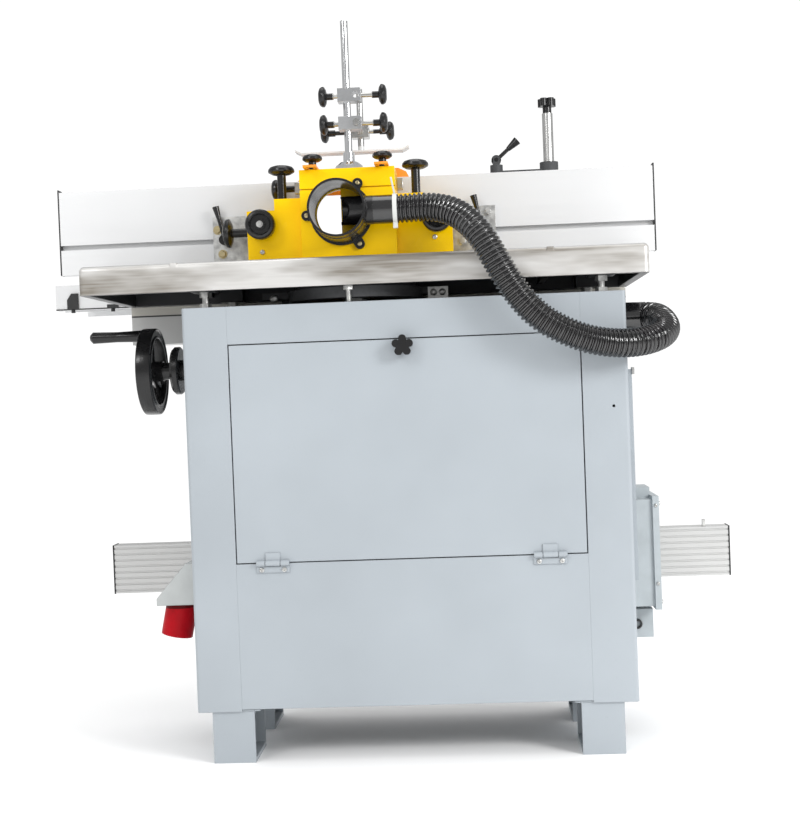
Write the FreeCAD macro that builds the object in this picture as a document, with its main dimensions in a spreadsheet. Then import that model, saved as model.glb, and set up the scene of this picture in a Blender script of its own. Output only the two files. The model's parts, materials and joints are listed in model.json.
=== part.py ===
import FreeCAD, Part
import math
import os
import Sketcher

# Spindle moulder, standing on the floor and seen from behind along +Y. Millimetres and degrees.

DIMS = {
    # Cabinet
    "cabinet_width": 780,
    "cabinet_depth": 360,
    "cabinet_height": 718,
    "cabinet_center_x": 50,
    "cabinet_rear_y": -262,
    "sheet_wall": 3,
    "post_width": 80,
    "front_flange": 40,
    "top_flange": 62,
    "bottom_flange": 112,
    "top_rail_height": 67,
    "rail_lip": 26,
    "panel_rise": 4,
    "side_cover_reach": 10,
    "side_cover_inset": 34,
    "side_cover_bottom": 300,
    "side_cover_top": 673,
    "post_hole_radius": 2.5,
    "post_hole_inset": 27,
    "post_hole_height": 610,
    "foot_height": 92,
    "foot_width": 75,
    "foot_depth": 118,
    "foot_inset": 26,
    "foot_setback": 4,
    "foot_wall": 5,
    "foot_plate": 8,
    # Rear door
    "door_height": 385,
    "door_gap": 2,
    "door_pan_depth": 16,
    "hinge_spacing": 488,
    "hinge_width": 58,
    "hinge_knuckle_length": 26,
    "hinge_knuckle_gap": 1,
    "hinge_radius": 5,
    "hinge_pin_radius": 2.5,
    "hinge_leaf_drop": 17,
    "hinge_leaf_wall": 2.5,
    "door_knob_drop": 12,
    "door_knob_stem": 10,
    "strike_tab_width": 44,
    "strike_tab_drop": 34,
    "strike_slot_width": 14,
    # Star knobs
    "star_radius": 19,
    "star_lobe_radius": 7,
    "star_thickness": 16,
    "star_hub_radius": 9,
    "star_bolt_radius": 4,
    # Table
    "table_length": 1000,
    "table_front_setback": 12,
    "table_thickness": 51,
    "table_plate": 18,
    "table_rim": 16,
    "table_edge_radius": 9,
    "fold_radius": 6,
    "table_rib": 12,
    "table_gap": 29,
    "table_center_x": -18,
    "table_overhang": 12,
    "table_hole_radius": 90,
    "table_ring_step": 8,
    "table_ring_depth": 8,
    "ring_middle_radius": 66,
    "ring_inner_radius": 42,
    "table_boss_wall": 22,
    "table_rib_spacing": 330,
    "stud_inset_x": 38,
    "stud_inset_y": 36,
    "stud_radius": 6,
    "stud_nut_radius": 11,
    "stud_nut_height": 9,
    "stud_pad": 46,
    # Spindle unit under the table
    "spindle_x": -40,
    "spindle_setback": 150,
    "spindle_radius": 17.5,
    "arbor_radius": 15,
    "arbor_length": 140,
    "arbor_flange_radius": 30,
    "arbor_flange_height": 10,
    "arbor_collar_radius": 25,
    "arbor_nut_height": 16,
    "run_clear": 0.05,
    "part_clear": 0.3,
    "bracket_bottom": 470,
    "bracket_width": 220,
    "bracket_front": 59,
    "bracket_back": 140,
    "bracket_plate": 20,
    "flange_radius": 125,
    "flange_inner_radius": 92,
    "flange_lug_reach": 172,
    "flange_lug_width": 44,
    "flange_lug_plate": 12,
    "column_radius": 13,
    "column_spacing": 150,
    "column_setback": 85,
    "quill_radius": 55,
    "quill_bottom": 525,
    "quill_length": 195,
    "quill_lug_radius": 24,
    "quill_lug_length": 140,
    "bearing_radius": 36,
    "bearing_width": 18,
    "bearing_shoulder": 28,
    "pulley_height": 44,
    "pulley_gap": 5,
    "spindle_pulley_radius": 36,
    "motor_pulley_radius": 46,
    "belt_thickness": 6,
    "belt_width": 26,
    # Lift drive
    "screw_offset_x": 130,
    "screw_radius": 8,
    "screw_arm_width": 50,
    "screw_arm_height": 16,
    "nut_arm_height": 26,
    "shaft_offset_y": 30,
    "shaft_radius": 9,
    "shaft_lug_width": 20,
    "gear_teeth": 16,
    "gear_pitch_radius": 22,
    "gear_face": 10,
    "gear_addendum": 1.8,
    "gear_dedendum": 2.6,
    "gear_backlash": 0.8,
    "gear_boss_length": 14,
    "gear_boss_radius": 14,
    # Handwheel
    "handwheel_z": 704,
    "handwheel_standoff": 96,
    "handwheel_radius": 82,
    "handwheel_rim": 20,
    "handwheel_rim_width": 24,
    "handwheel_hub_radius": 19,
    "handwheel_hub_length": 46,
    "handwheel_spokes": 3,
    "spoke_radius": 7,
    "crank_orbit": 68,
    "crank_pin_radius": 4,
    "crank_grip_radius": 11,
    "crank_grip_length": 102,
    "lock_ring_radius": 45,
    "lock_ring_width": 16,
    "lock_ring_neck": 20,
    "lock_ring_standoff": 54,
    # Motor
    "motor_offset_x": 230,
    "motor_radius": 82,
    "motor_core_radius": 72,
    "motor_length": 235,
    "motor_shield": 16,
    "motor_cowl": 52,
    "motor_fin_count": 20,
    "motor_fin_wall": 3,
    "motor_shaft_radius": 12,
    "motor_plate": 15,
    "motor_plate_margin": 14,
    "motor_box_width": 84,
    "motor_box_depth": 24,
    "motor_web": 14,
    # Hood
    "hood_setback": 45,
    "hood_depth": 96,
    "hood_half_width": 184,
    "hood_wing_height": 92,
    "hood_block_half": 134,
    "hood_block_height": 112,
    "hood_crown_half": 85,
    "hood_crown_height": 154,
    "hood_wall": 6,
    "wing_setback": 16,
    "cover_wall": 5,
    "cover_skirt": 34,
    "cover_gap": 2,
    "port_offset_x": -12,
    "port_height": 77,
    "collar_radius": 50,
    "collar_wall": 4,
    "port_rim": 2,
    "collar_length": 100,
    "collar_spigot": 28,
    "collar_step": 1,
    "collar_flange_radius": 55,
    "collar_flange_wall": 6,
    "collar_ear_orbit": 62,
    "collar_ear_radius": 9,
    "collar_ear_hole": 2.6,
    "branch_setback": 44,
    "branch_reach": 60,
    "branch_wall": 3,
    "branch_inset": 4,
    # Knobs
    "side_block_size": 20,
    "side_block_reach": 18,
    "side_knob_setback": 86,
    "side_knob_drop": 20,
    "side_knob_stem": 28,
    "mushroom_radius": 24,
    "mushroom_height": 17,
    "mushroom_stem_radius": 8,
    "mushroom_stem": 44,
    "hood_knob_offset": 121,
    "hood_knob_setback": 35,
    "hood_bolt_radius": 6,
    "guard_knob_offset": 63,
    "guard_knob_setback": 26,
    "guard_knob_radius": 18,
    "guard_knob_height": 14,
    "guard_knob_stem": 12,
    "guard_bolt_radius": 4,
    "guard_half_width": 107,
    "guard_wall": 4,
    "guard_drop": 26,
    "guard_rise": 16,
    "guard_corner": 22,
    "guard_arm_width": 24,
    "guard_travel": 40,
    "guard_gap": 12,
    # Fence
    "fence_setback": 160,
    "fence_thickness": 22,
    "fence_height": 156,
    "fence_length": 480,
    "fence_gap_half": 74,
    "fence_lift": 0.5,
    "fence_slot_height": 52,
    "fence_slot_mouth": 9,
    "fence_slot_depth": 4,
    "fence_slot_head": 18,
    "fence_slot_head_depth": 8,
    "carrier_wall": 8,
    "carrier_reach": 263,
    "carrier_height": 96,
    "carrier_bar_width": 28,
    "carrier_bar_height": 44,
    "carrier_bar_low": 38,
    "carrier_travel": 12,
    "adjuster_offset": 157,
    "adjuster_height": 65,
    "adjuster_radius": 26.5,
    "adjuster_thickness": 24,
    "adjuster_neck": 8,
    "adjuster_dish_radius": 18,
    "adjuster_dish_depth": 7,
    "adjuster_boss_radius": 9,
    "adjuster_screw_radius": 6,
    "adjuster_screw_length": 66,
    "lock_height": 58,
    "lock_setback": 48,
    "lock_stem": 31,
    "lock_screw_radius": 5,
    "lever_offset": 239,
    "lever_hub_radius": 10,
    "lever_hub_length": 20,
    "lever_arm_radius": 4,
    "lever_arm_length": 46,
    "lever_grip_radius": 6.5,
    "lever_grip_length": 24,
    "lever_lean": -14,
    "lever_stem_radius": 4,
    # Pressing device on the hood
    "post_setback": 110,
    "post_radius": 7,
    "post_height": 255,
    "dome_radius": 28,
    "dome_height": 22,
    "dome_neck_radius": 10.5,
    "dome_neck_height": 16,
    "clamp_width": 42,
    "clamp_side": 16,
    "clamp_depth": 26,
    "clamp_height": 24,
    "upper_clamp_height": 141,
    "lower_clamp_height": 90,
    "arm_offset": 17,
    "arm_radius": 6,
    "arm_reach": 70,
    "arm_tail": 22,
    "shoe_bar_radius": 6,
    "shoe_bar_length": 118,
    "shoe_drop": 36,
    "shoe_half_length": 107,
    "shoe_width": 30,
    "shoe_thickness": 3.5,
    "shoe_tip_rise": 6,
    "clamp_knob_radius": 18.5,
    "clamp_knob_height": 15,
    "clamp_knob_left": 20,
    "shoe_knob_left": 44,
    "clamp_knob_right": 32,
    "clamp_knob_stem_radius": 6,
    "clamp_knob_hub": 12,
    "clamp_screw_radius": 4,
    "clamp_screw_depth": 2.6,
    # Sliding table
    "slide_length": 1100,
    "slide_left_x": -672,
    "slide_width": 235,
    "slide_gap_y": 8,
    "slide_plate": 26,
    "slide_wall": 8,
    "slide_lift": 0.5,
    "slide_slot_offset": 86,
    "slide_slot_mouth": 12,
    "slide_slot_head": 22,
    "slide_slot_depth": 6,
    "slide_slot_head_depth": 10,
    "guide_width": 78,
    "guide_height": 76,
    "guide_wall": 6,
    "guide_ridge_width": 34,
    "guide_ridge_height": 18,
    "guide_ridge_offset": 22,
    "support_length": 1250,
    "support_center_x": 47,
    "support_bottom": 257,
    "support_height": 98,
    "support_depth": 40,
    "support_wall": 5,
    "support_grooves": 8,
    "support_groove_depth": 2,
    "support_groove_width": 4,
    # Hold-down clamp on the sliding table
    "hold_post_x": 344,
    "hold_post_radius": 11,
    "hold_post_height": 318,
    "hold_base_radius": 24,
    "hold_base_height": 14,
    "hold_rod_radius": 5,
    "hold_knob_neck": 14,
    "hold_arm_height": 176,
    "hold_sleeve_radius": 19,
    "hold_sleeve_length": 42,
    "hold_arm_reach": 108,
    "hold_arm_width": 22,
    "hold_arm_thickness": 14,
    "hold_pad_radius": 13,
    "hold_pad_length": 40,
    "hold_lever_length": 34,
    "hold_lever_angle": 49,
    "hold_lever_hub": 10,
    "hold_lever_radius": 4,
    "hold_grip_radius": 9,
    "hold_grip_length": 26,
    # Electrical box and power inlet
    "box_reach": 55,
    "box_depth": 150,
    "box_height": 200,
    "box_bottom": 230,
    "box_setback": 170,
    "box_wall": 3,
    "lid_reach": 12,
    "lid_margin": 6,
    "gland_reach": 56,
    "gland_depth": 60,
    "gland_height": 54,
    "gland_gap": 12,
    "upper_box_height": 20,
    "switch_radius": 20,
    "switch_height": 20,
    "switch_grip": 8,
    "switch_drop": 40,
    "inlet_setback": 70,
    "inlet_width": 92,
    "inlet_top": 350,
    "inlet_bottom": 274,
    "inlet_reach": 82,
    "inlet_brow": 26,
    "shroud_radius": 29,
    "shroud_wall": 4,
    "shroud_length": 50,
    "shroud_tilt": 12,
    # Dust hose
    "hose_radius": 25,
    "hose_bore": 19,
    "hose_valley": 22,
    "hose_ribs": 64,
}

V = FreeCAD.Vector
doc = FreeCAD.newDocument("SpindleMoulder")
sheet = doc.addObject("Spreadsheet::Sheet", "Dims")
for row, (alias, number) in enumerate(DIMS.items(), start=1):
    sheet.set(f"A{row}", alias)
    sheet.set(f"B{row}", str(number))
    sheet.setAlias(f"B{row}", alias)
doc.recompute()


class Size:
    """A length with the sheet expression that gives it."""

    def __init__(self, value, text):
        self.value = float(value)
        self.text = text

    def __add__(self, other):
        other = as_size(other)
        return Size(self.value + other.value, f"({self.text} + {other.text})")

    def __sub__(self, other):
        other = as_size(other)
        return Size(self.value - other.value, f"({self.text} - {other.text})")

    def __rsub__(self, other):
        return as_size(other) - self

    def __mul__(self, factor):
        factor = as_size(factor)
        return Size(self.value * factor.value, f"({self.text} * {factor.text})")

    def __truediv__(self, divisor):
        divisor = as_size(divisor)
        return Size(self.value / divisor.value, f"({self.text} / {divisor.text})")

    def __neg__(self):
        return self * -1

    __radd__ = __add__
    __rmul__ = __mul__


def as_size(amount):
    """Give a plain number the same form as a sheet size."""
    return amount if isinstance(amount, Size) else Size(amount, f"({float(amount):.9f})")


class SheetSizes:
    """Read driving sizes by name."""

    def __getattr__(self, alias):
        return Size(DIMS[alias], f"Dims.{alias}")


D = SheetSizes()
NODES = {}

AXIS_TURNS = {
    "Z": FreeCAD.Rotation(),
    "-Z": FreeCAD.Rotation(V(1, 0, 0), 180),
    "X": FreeCAD.Rotation(V(0, 1, 0), 90),
    "-X": FreeCAD.Rotation(V(0, 1, 0), -90),
    "Y": FreeCAD.Rotation(V(1, 0, 0), -90),
    "-Y": FreeCAD.Rotation(V(1, 0, 0), 90),
}


def node(name, obj):
    """Name a finished sub-part."""
    obj.Label = name
    NODES[name] = obj
    return obj


def bind(obj, field, amount):
    """Drive one property by a sheet size."""
    amount = as_size(amount)
    setattr(obj, field, amount.value)
    obj.setExpression(field, amount.text)


def place(obj, x=0, y=0, z=0, turn=None):
    """Put an object at a driven place."""
    spots = [as_size(x), as_size(y), as_size(z)]
    obj.Placement = FreeCAD.Placement(V(*[spot.value for spot in spots]), turn or FreeCAD.Rotation())
    for letter, spot in zip("xyz", spots):
        obj.setExpression(f"Placement.Base.{letter}", spot.text)
    return obj


def box(x0, x1, y0, y1, z0, z1):
    """Block between two corners, in any order."""
    obj = doc.addObject("Part::Box", "Block")
    lows = []
    for field, first, second in (("Length", x0, x1), ("Width", y0, y1), ("Height", z0, z1)):
        low, high = sorted((as_size(first), as_size(second)), key=lambda spot: spot.value)
        bind(obj, field, high - low)
        lows.append(low)
    return place(obj, *lows)


def rod(radius, length, x, y, z, axis="Z"):
    """Round bar from a point along an axis."""
    obj = doc.addObject("Part::Cylinder", "Bar")
    bind(obj, "Radius", radius)
    bind(obj, "Height", length)
    return place(obj, x, y, z, AXIS_TURNS[axis])


def hexagon(radius, height, x, y, z):
    """Upright hexagonal bar."""
    obj = doc.addObject("Part::Prism", "Hexagon")
    obj.Polygon = 6
    bind(obj, "Circumradius", radius)
    bind(obj, "Height", height)
    return place(obj, x, y, z)


def fuse(*shapes):
    """Join pieces into one solid."""
    obj = doc.addObject("Part::MultiFuse", "Joined")
    obj.Shapes = list(shapes)
    return obj


def cut(base, *tools):
    """Take tools away from a base."""
    obj = doc.addObject("Part::Cut", "Cut")
    obj.Base = base
    obj.Tool = tools[0] if len(tools) == 1 else fuse(*tools)
    return obj


def common(first, second):
    """Keep what two shapes share."""
    obj = doc.addObject("Part::Common", "Shared")
    obj.Base = first
    obj.Tool = second
    return obj


def group(*shapes):
    """Keep separate solids in one sub-part."""
    obj = doc.addObject("Part::Compound", "Group")
    obj.Links = list(shapes)
    return obj


def outline(body, plane, points):
    """Closed outline whose corners are driven from the origin."""
    sketch = body.newObject("Sketcher::SketchObject", "Outline")
    support = [feature for feature in body.Origin.OriginFeatures if feature.Role == plane][0]
    sketch.AttachmentSupport = [(support, "")]
    sketch.MapMode = "FlatFace"
    corners = [(as_size(across), as_size(along)) for across, along in points]
    following = corners[1:] + corners[:1]
    for (a, b), (c, d) in zip(corners, following):
        sketch.addGeometry(Part.LineSegment(V(a.value, b.value, 0), V(c.value, d.value, 0)), False)
    count = len(corners)
    links = [Sketcher.Constraint("Coincident", i, 2, (i + 1) % count, 1) for i in range(count)]
    sketch.addConstraint(links)
    for i, (across, along) in enumerate(corners):
        for kind, amount in (("DistanceX", across), ("DistanceY", along)):
            index = sketch.addConstraint(Sketcher.Constraint(kind, -1, 1, i, 1, amount.value))
            sketch.setExpression(f"Constraints[{index}]", amount.text)
    return sketch


def prism(plane, points, start, end):
    """Outline in the XY, XZ or YZ plane, carried from start to end along the third axis."""
    body = doc.addObject("PartDesign::Body", "Profile")
    sketch = outline(body, plane + "_Plane", points)
    pad = body.newObject("PartDesign::Pad", "Pad")
    pad.Profile = sketch
    bind(pad, "Length", as_size(end) - start)
    pad.Reversed = plane == "XZ"
    body.Tip = pad
    shift = {"XY": (0, 0, start), "XZ": (0, start, 0), "YZ": (start, 0, 0)}[plane]
    return place(body, *shift)


def turned(points, x, y, z, axis="Z"):
    """Outline of radius and height, turned about an axis through a point."""
    body = doc.addObject("PartDesign::Body", "Turned")
    sketch = outline(body, "XZ_Plane", points)
    spin = body.newObject("PartDesign::Revolution", "Spin")
    spin.Profile = sketch
    spin.ReferenceAxis = (sketch, ["V_Axis"])
    spin.Angle = 360
    body.Tip = spin
    return place(body, x, y, z, AXIS_TURNS[axis])


def rounded(base, radius, chosen):
    """Fillet the edges of a solid whose middle points pass a test."""
    doc.recompute()
    obj = doc.addObject("Part::Fillet", "Rounded")
    obj.Base = base
    size = as_size(radius).value
    picked = []
    for number, edge in enumerate(base.Shape.Edges, start=1):
        middle = edge.valueAt((edge.FirstParameter + edge.LastParameter) / 2)
        if chosen(middle, edge):
            picked.append((number, size, size))
    obj.Edges = picked
    return obj


# Places shared by the pieces
cab_left = D.cabinet_center_x - D.cabinet_width / 2
cab_right = D.cabinet_center_x + D.cabinet_width / 2
cab_rear = D.cabinet_rear_y
cab_front = cab_rear + D.cabinet_depth
cab_base = D.foot_height
cab_top = cab_base + D.cabinet_height
wall = D.sheet_wall
door_top = cab_top - D.top_rail_height - D.door_gap
door_bottom = door_top - D.door_height
door_left = cab_left + D.post_width + D.door_gap
door_right = cab_right - D.post_width - D.door_gap
hinge_y = cab_rear - D.hinge_radius
hinge_z = door_bottom - D.door_gap / 2
knob_z = door_top - D.door_knob_drop
table_left = D.table_center_x - D.table_length / 2
table_right = D.table_center_x + D.table_length / 2
table_rear = cab_rear - D.table_overhang
table_front = cab_front - D.table_front_setback
table_bottom = cab_top + D.table_gap
table_top = table_bottom + D.table_thickness
spindle_x = D.spindle_x
spindle_y = table_rear + D.spindle_setback
hood_rear = table_rear + D.hood_setback
hood_front = hood_rear + D.hood_depth
hood_knob_y = hood_rear + D.hood_knob_setback
fence_rear = table_rear + D.fence_setback
column_y = spindle_y + D.column_setback
screw_x = spindle_x - D.screw_offset_x
shaft_y = spindle_y + D.shaft_offset_y
shaft_z = D.handwheel_z
upper_arm_top = shaft_z - D.gear_pitch_radius - D.gear_boss_length
quill_top = D.quill_bottom + D.quill_length
motor_x = spindle_x + D.motor_offset_x
pulley_top = D.quill_bottom - D.pulley_gap
pulley_bottom = pulley_top - D.pulley_height
motor_plate_top = pulley_bottom - D.pulley_gap
motor_top = motor_plate_top - D.motor_plate
slide_rear = table_front + D.slide_gap_y
crown_top = table_top + D.hood_crown_height
cover_top = crown_top + D.cover_wall
post_y = table_rear + D.post_setback
port_x = spindle_x + D.port_offset_x
port_z = table_top + D.port_height
branch_y = hood_rear - D.branch_setback
hose_end_y = -149
hose_end_z = 770


def side_panel(side):
    """Folded side wall with its rear post, front edge and top and bottom flanges."""
    outer = D.cabinet_center_x + D.cabinet_width / 2 * side

    def inward(depth):
        return outer - depth * side

    wall_outline = [
        (outer, cab_rear),
        (inward(D.post_width), cab_rear),
        (inward(D.post_width), cab_rear + wall),
        (inward(wall), cab_rear + wall),
        (inward(wall), cab_front - wall),
        (inward(D.front_flange), cab_front - wall),
        (inward(D.front_flange), cab_front),
        (outer, cab_front),
    ]
    sheet_shell = prism("XY", wall_outline, cab_base, cab_top)

    def outer_fold(middle, edge):
        upright = abs(middle.z - (cab_base.value + cab_top.value) / 2) < 1
        return upright and abs(middle.x - outer.value) < 0.01

    shell = rounded(sheet_shell, D.fold_radius, outer_fold)
    inner_y = (cab_rear + wall, cab_front - wall)
    top = box(inward(wall), inward(D.top_flange), *inner_y, cab_top - wall, cab_top)
    bottom = box(inward(wall), inward(D.bottom_flange), *inner_y, cab_base, cab_base + wall)
    return fuse(shell, top, bottom), inward


def side_panels():
    """Left wall carries the handwheel shaft, right wall takes the hose."""
    left, left_inward = side_panel(-1)
    boss = rod(D.lock_ring_neck, D.gear_boss_length, left_inward(wall), shaft_y, shaft_z, "X")
    bore = rod(D.shaft_radius + D.run_clear, D.front_flange, left_inward(-1 * wall), shaft_y, shaft_z, "X")
    node("left_side_panel", cut(fuse(left, boss), bore))
    right, right_inward = side_panel(1)
    hose_hole = rod(D.hose_radius + D.part_clear, D.front_flange, right_inward(D.front_flange / 2),
                    hose_end_y, hose_end_z, "X")
    cover = box(cab_right, cab_right + D.side_cover_reach, cab_rear + D.side_cover_inset,
                cab_front - D.side_cover_inset, D.side_cover_bottom, D.side_cover_top)
    gap = D.lid_margin * 2
    box_room = box(cab_right, cab_right + D.box_reach, cab_rear + D.box_setback - gap,
                   cab_rear + D.box_setback + D.box_depth + gap, D.box_bottom,
                   D.box_bottom + D.box_height + D.upper_box_height + gap)
    post_hole = rod(D.post_hole_radius, wall * 3, cab_right - D.post_hole_inset, cab_rear - wall,
                    D.post_hole_height, "Y")
    node("right_side_panel", cut(fuse(right, cut(cover, box_room)), hose_hole, post_hole))


def cabinet_panels():
    """Front sheet, and the rail and panel above and below the rear door."""
    node("front_panel", box(cab_left + D.front_flange, cab_right - D.front_flange,
                            cab_front - wall, cab_front, cab_base, cab_top))
    spans = (cab_left + D.post_width, cab_right - D.post_width)
    strips = []
    for low, high in ((door_top + D.door_gap, cab_top), (cab_base + D.panel_rise, door_bottom - D.door_gap)):
        channel = [
            (cab_rear, low),
            (cab_rear + D.rail_lip, low),
            (cab_rear + D.rail_lip, low + wall),
            (cab_rear + wall, low + wall),
            (cab_rear + wall, high - wall),
            (cab_rear + D.rail_lip, high - wall),
            (cab_rear + D.rail_lip, high),
            (cab_rear, high),
        ]
        strips.append(prism("YZ", channel, *spans))
    rail, lower = strips
    middle = (door_left + door_right) / 2
    tab_back = cab_rear + D.rail_lip
    tab = box(middle - D.strike_tab_width / 2, middle + D.strike_tab_width / 2, tab_back - wall, tab_back,
              door_top + D.door_gap - D.strike_tab_drop, door_top + D.door_gap)
    slot = box(middle - D.strike_slot_width / 2, middle + D.strike_slot_width / 2, tab_back - wall * 2,
               tab_back + wall, door_top - D.strike_tab_drop, knob_z + D.strike_slot_width / 2)
    node("rear_panels", group(cut(fuse(rail, tab), slot), lower))


def feet():
    """Four bent channels, open towards the middle of the machine."""
    made = []
    for side in (-1, 1):
        for end in (-1, 1):
            edge = D.cabinet_center_x + (D.cabinet_width / 2 - D.foot_inset) * side
            inner = edge - D.foot_width * side
            face = D.cabinet_rear_y + D.cabinet_depth / 2 + (D.cabinet_depth / 2 - D.foot_setback) * end
            back = face - D.foot_depth * end
            shell = box(edge, inner, face, back, 0, D.foot_height)
            void = box(edge - D.foot_wall * side, inner - D.foot_wall * side, face - D.foot_wall * end,
                       back + D.foot_wall * end, D.foot_plate, D.foot_height - D.foot_wall)
            made.append(cut(shell, void))
    node("feet", group(*made))


def star_knob(x, y, z, axis, bolt_length, neck):
    """Five-lobed knob with its bolt, head outwards along the axis."""
    head = [rod(D.star_hub_radius, neck + D.star_thickness, x, y, z, axis)]
    lobe_orbit = D.star_radius - D.star_lobe_radius
    for lobe in range(5):
        angle = math.radians(90 + 72 * lobe)
        across = lobe_orbit * math.cos(angle)
        along = lobe_orbit * math.sin(angle)
        spot = (x + across, y - neck, z + along) if axis == "-Y" else (x + across, y + along, z + neck)
        head.append(rod(D.star_lobe_radius, D.star_thickness, *spot, axis))
    core_spot = (x, y - neck, z) if axis == "-Y" else (x, y, z + neck)
    head.append(rod(lobe_orbit, D.star_thickness, *core_spot, axis))
    back_axis = {"-Y": "Y", "Z": "-Z"}[axis]
    head.append(rod(D.star_bolt_radius, bolt_length, x, y, z, back_axis))
    return fuse(*head)


def rear_door():
    """Pan-shaped door on two knuckle hinges, closed by a star knob."""
    pan = box(door_left, door_right, cab_rear, cab_rear + D.door_pan_depth, door_bottom, door_top)
    hollow = box(door_left + wall, door_right - wall, cab_rear + wall, cab_rear + D.door_pan_depth * 2,
                 door_bottom + wall, door_top - wall)
    middle = (door_left + door_right) / 2
    knuckles = []
    pin_bores = []
    for side in (-1, 1):
        start = middle + D.hinge_spacing / 2 * side - D.hinge_knuckle_length / 2
        knuckles.append(rod(D.hinge_radius, D.hinge_knuckle_length, start, hinge_y, hinge_z, "X"))
        knuckles.append(box(start, start + D.hinge_knuckle_length, cab_rear - D.hinge_leaf_wall,
                            cab_rear + wall / 2, hinge_z, door_bottom + D.hinge_leaf_drop))
        pin_bores.append(rod(D.hinge_pin_radius + D.run_clear, D.hinge_knuckle_length + wall * 2,
                             start - wall, hinge_y, hinge_z, "X"))
    lower_edge = box(door_left, door_right, cab_rear, cab_rear + wall, door_bottom - D.door_gap * 2, door_bottom)
    blank = cut(fuse(cut(pan, hollow), cut(fuse(*knuckles), lower_edge)), *pin_bores)
    stem_hole = rod(D.star_bolt_radius + D.run_clear, wall * 3, middle, cab_rear - wall, knob_z, "Y")
    node("rear_door", cut(blank, stem_hole))
    node("door_knob", star_knob(middle, cab_rear - D.part_clear, knob_z, "-Y",
                                D.rail_lip + D.part_clear + wall, D.door_knob_stem))


def door_hinges():
    """Fixed hinge leaves with their end knuckles and pins."""
    middle = (door_left + door_right) / 2
    made = []
    for side in (-1, 1):
        center = middle + D.hinge_spacing / 2 * side
        start = center - D.hinge_width / 2
        inner = D.hinge_knuckle_length / 2 + D.hinge_knuckle_gap
        end_length = D.hinge_width / 2 - inner
        face = cab_rear - D.hinge_leaf_wall
        leaf = box(start, start + D.hinge_width, face, cab_rear, hinge_z - D.hinge_leaf_drop,
                   hinge_z - D.hinge_radius - D.hinge_knuckle_gap)
        pieces = [leaf, rod(D.hinge_pin_radius, D.hinge_width, start, hinge_y, hinge_z, "X")]
        for first in (start, center + inner):
            pieces.append(rod(D.hinge_radius, end_length, first, hinge_y, hinge_z, "X"))
            pieces.append(box(first, first + end_length, face, cab_rear, hinge_z - D.hinge_leaf_drop, hinge_z))
        made.append(fuse(*pieces))
    node("door_hinges", group(*made))


def stud_spots():
    """Places of the four levelling studs."""
    return [(x, y) for x in (cab_left + D.stud_inset_x, cab_right - D.stud_inset_x)
            for y in (cab_rear + D.stud_inset_y, cab_front - D.stud_inset_y)]


def table():
    """Cast table: plate, rim, ribs, round boss and pads."""
    def outer_edge(middle, edge):
        upright = abs(middle.z - (table_bottom.value + table_top.value) / 2) < 1
        rear_end = middle.y < table_front.value - 1
        return rear_end and (upright or abs(middle.z - table_top.value) < 0.01)

    plain = box(table_left, table_right, table_rear, table_front, table_bottom, table_top)
    blank = rounded(plain, D.table_edge_radius, outer_edge)
    under = table_top - D.table_plate
    hollow = box(table_left + D.table_rim, table_right - D.table_rim, table_rear + D.table_rim,
                 table_front - D.table_rim, table_bottom - 1, under)
    added = [rod(D.table_hole_radius + D.table_boss_wall, D.table_thickness, spindle_x, spindle_y, table_bottom)]
    for side in (-1, 1):
        rib_x = D.table_center_x + D.table_rib_spacing * side
        added.append(box(rib_x - D.table_rib / 2, rib_x + D.table_rib / 2, table_rear, table_front,
                         table_bottom + D.table_rib, table_top))
    for x, y in stud_spots():
        added.append(box(x - D.stud_pad / 2, x + D.stud_pad / 2, y - D.stud_pad / 2, y + D.stud_pad / 2,
                         table_bottom, table_top))
    half = D.bracket_width / 2
    added.append(box(spindle_x - half, spindle_x + half, spindle_y + D.bracket_back - D.bracket_plate,
                     spindle_y + D.bracket_back, table_bottom, table_top))
    added.append(box(spindle_x - half, spindle_x + half, column_y, column_y + D.bracket_plate,
                     table_bottom, table_top))
    holes = [
        rod(D.table_hole_radius, D.table_thickness * 2, spindle_x, spindle_y, table_bottom - D.table_gap),
        rod(D.table_hole_radius + D.table_ring_step, D.table_thickness, spindle_x, spindle_y,
            table_top - D.table_ring_depth),
    ]
    for side in (-1, 1):
        holes.append(rod(D.hood_bolt_radius + D.part_clear, D.table_thickness * 2,
                         spindle_x + D.hood_knob_offset * side, hood_knob_y, table_bottom - D.table_gap))
    node("table", cut(fuse(cut(blank, hollow), *added), *holes))


def table_rings():
    """Two stepped inserts in the table's opening, flush with its top."""
    outer_radius = D.table_hole_radius + D.table_ring_step - D.part_clear
    step = D.table_ring_step / 2
    outer = [
        (D.ring_middle_radius, 0),
        (outer_radius, 0),
        (outer_radius, D.table_ring_depth),
        (D.ring_middle_radius + step, D.table_ring_depth),
        (D.ring_middle_radius + step, D.table_ring_depth / 2),
        (D.ring_middle_radius, D.table_ring_depth / 2),
    ]
    inner = [
        (D.ring_inner_radius, D.table_ring_depth / 2),
        (D.ring_middle_radius + step - D.part_clear, D.table_ring_depth / 2),
        (D.ring_middle_radius + step - D.part_clear, D.table_ring_depth),
        (D.ring_inner_radius, D.table_ring_depth),
    ]
    base = table_top - D.table_ring_depth
    node("table_rings", group(turned(outer, spindle_x, spindle_y, base), turned(inner, spindle_x, spindle_y, base)))


def table_studs():
    """Levelling studs with nuts between the cabinet's top flanges and the table."""
    made = []
    for x, y in stud_spots():
        shank = rod(D.stud_radius, D.table_gap, x, y, cab_top)
        low_nut = hexagon(D.stud_nut_radius, D.stud_nut_height, x, y, cab_top)
        high_nut = hexagon(D.stud_nut_radius, D.stud_nut_height, x, y, table_bottom - D.stud_nut_height)
        made.append(fuse(shank, low_nut, high_nut))
    node("table_studs", group(*made))


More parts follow.
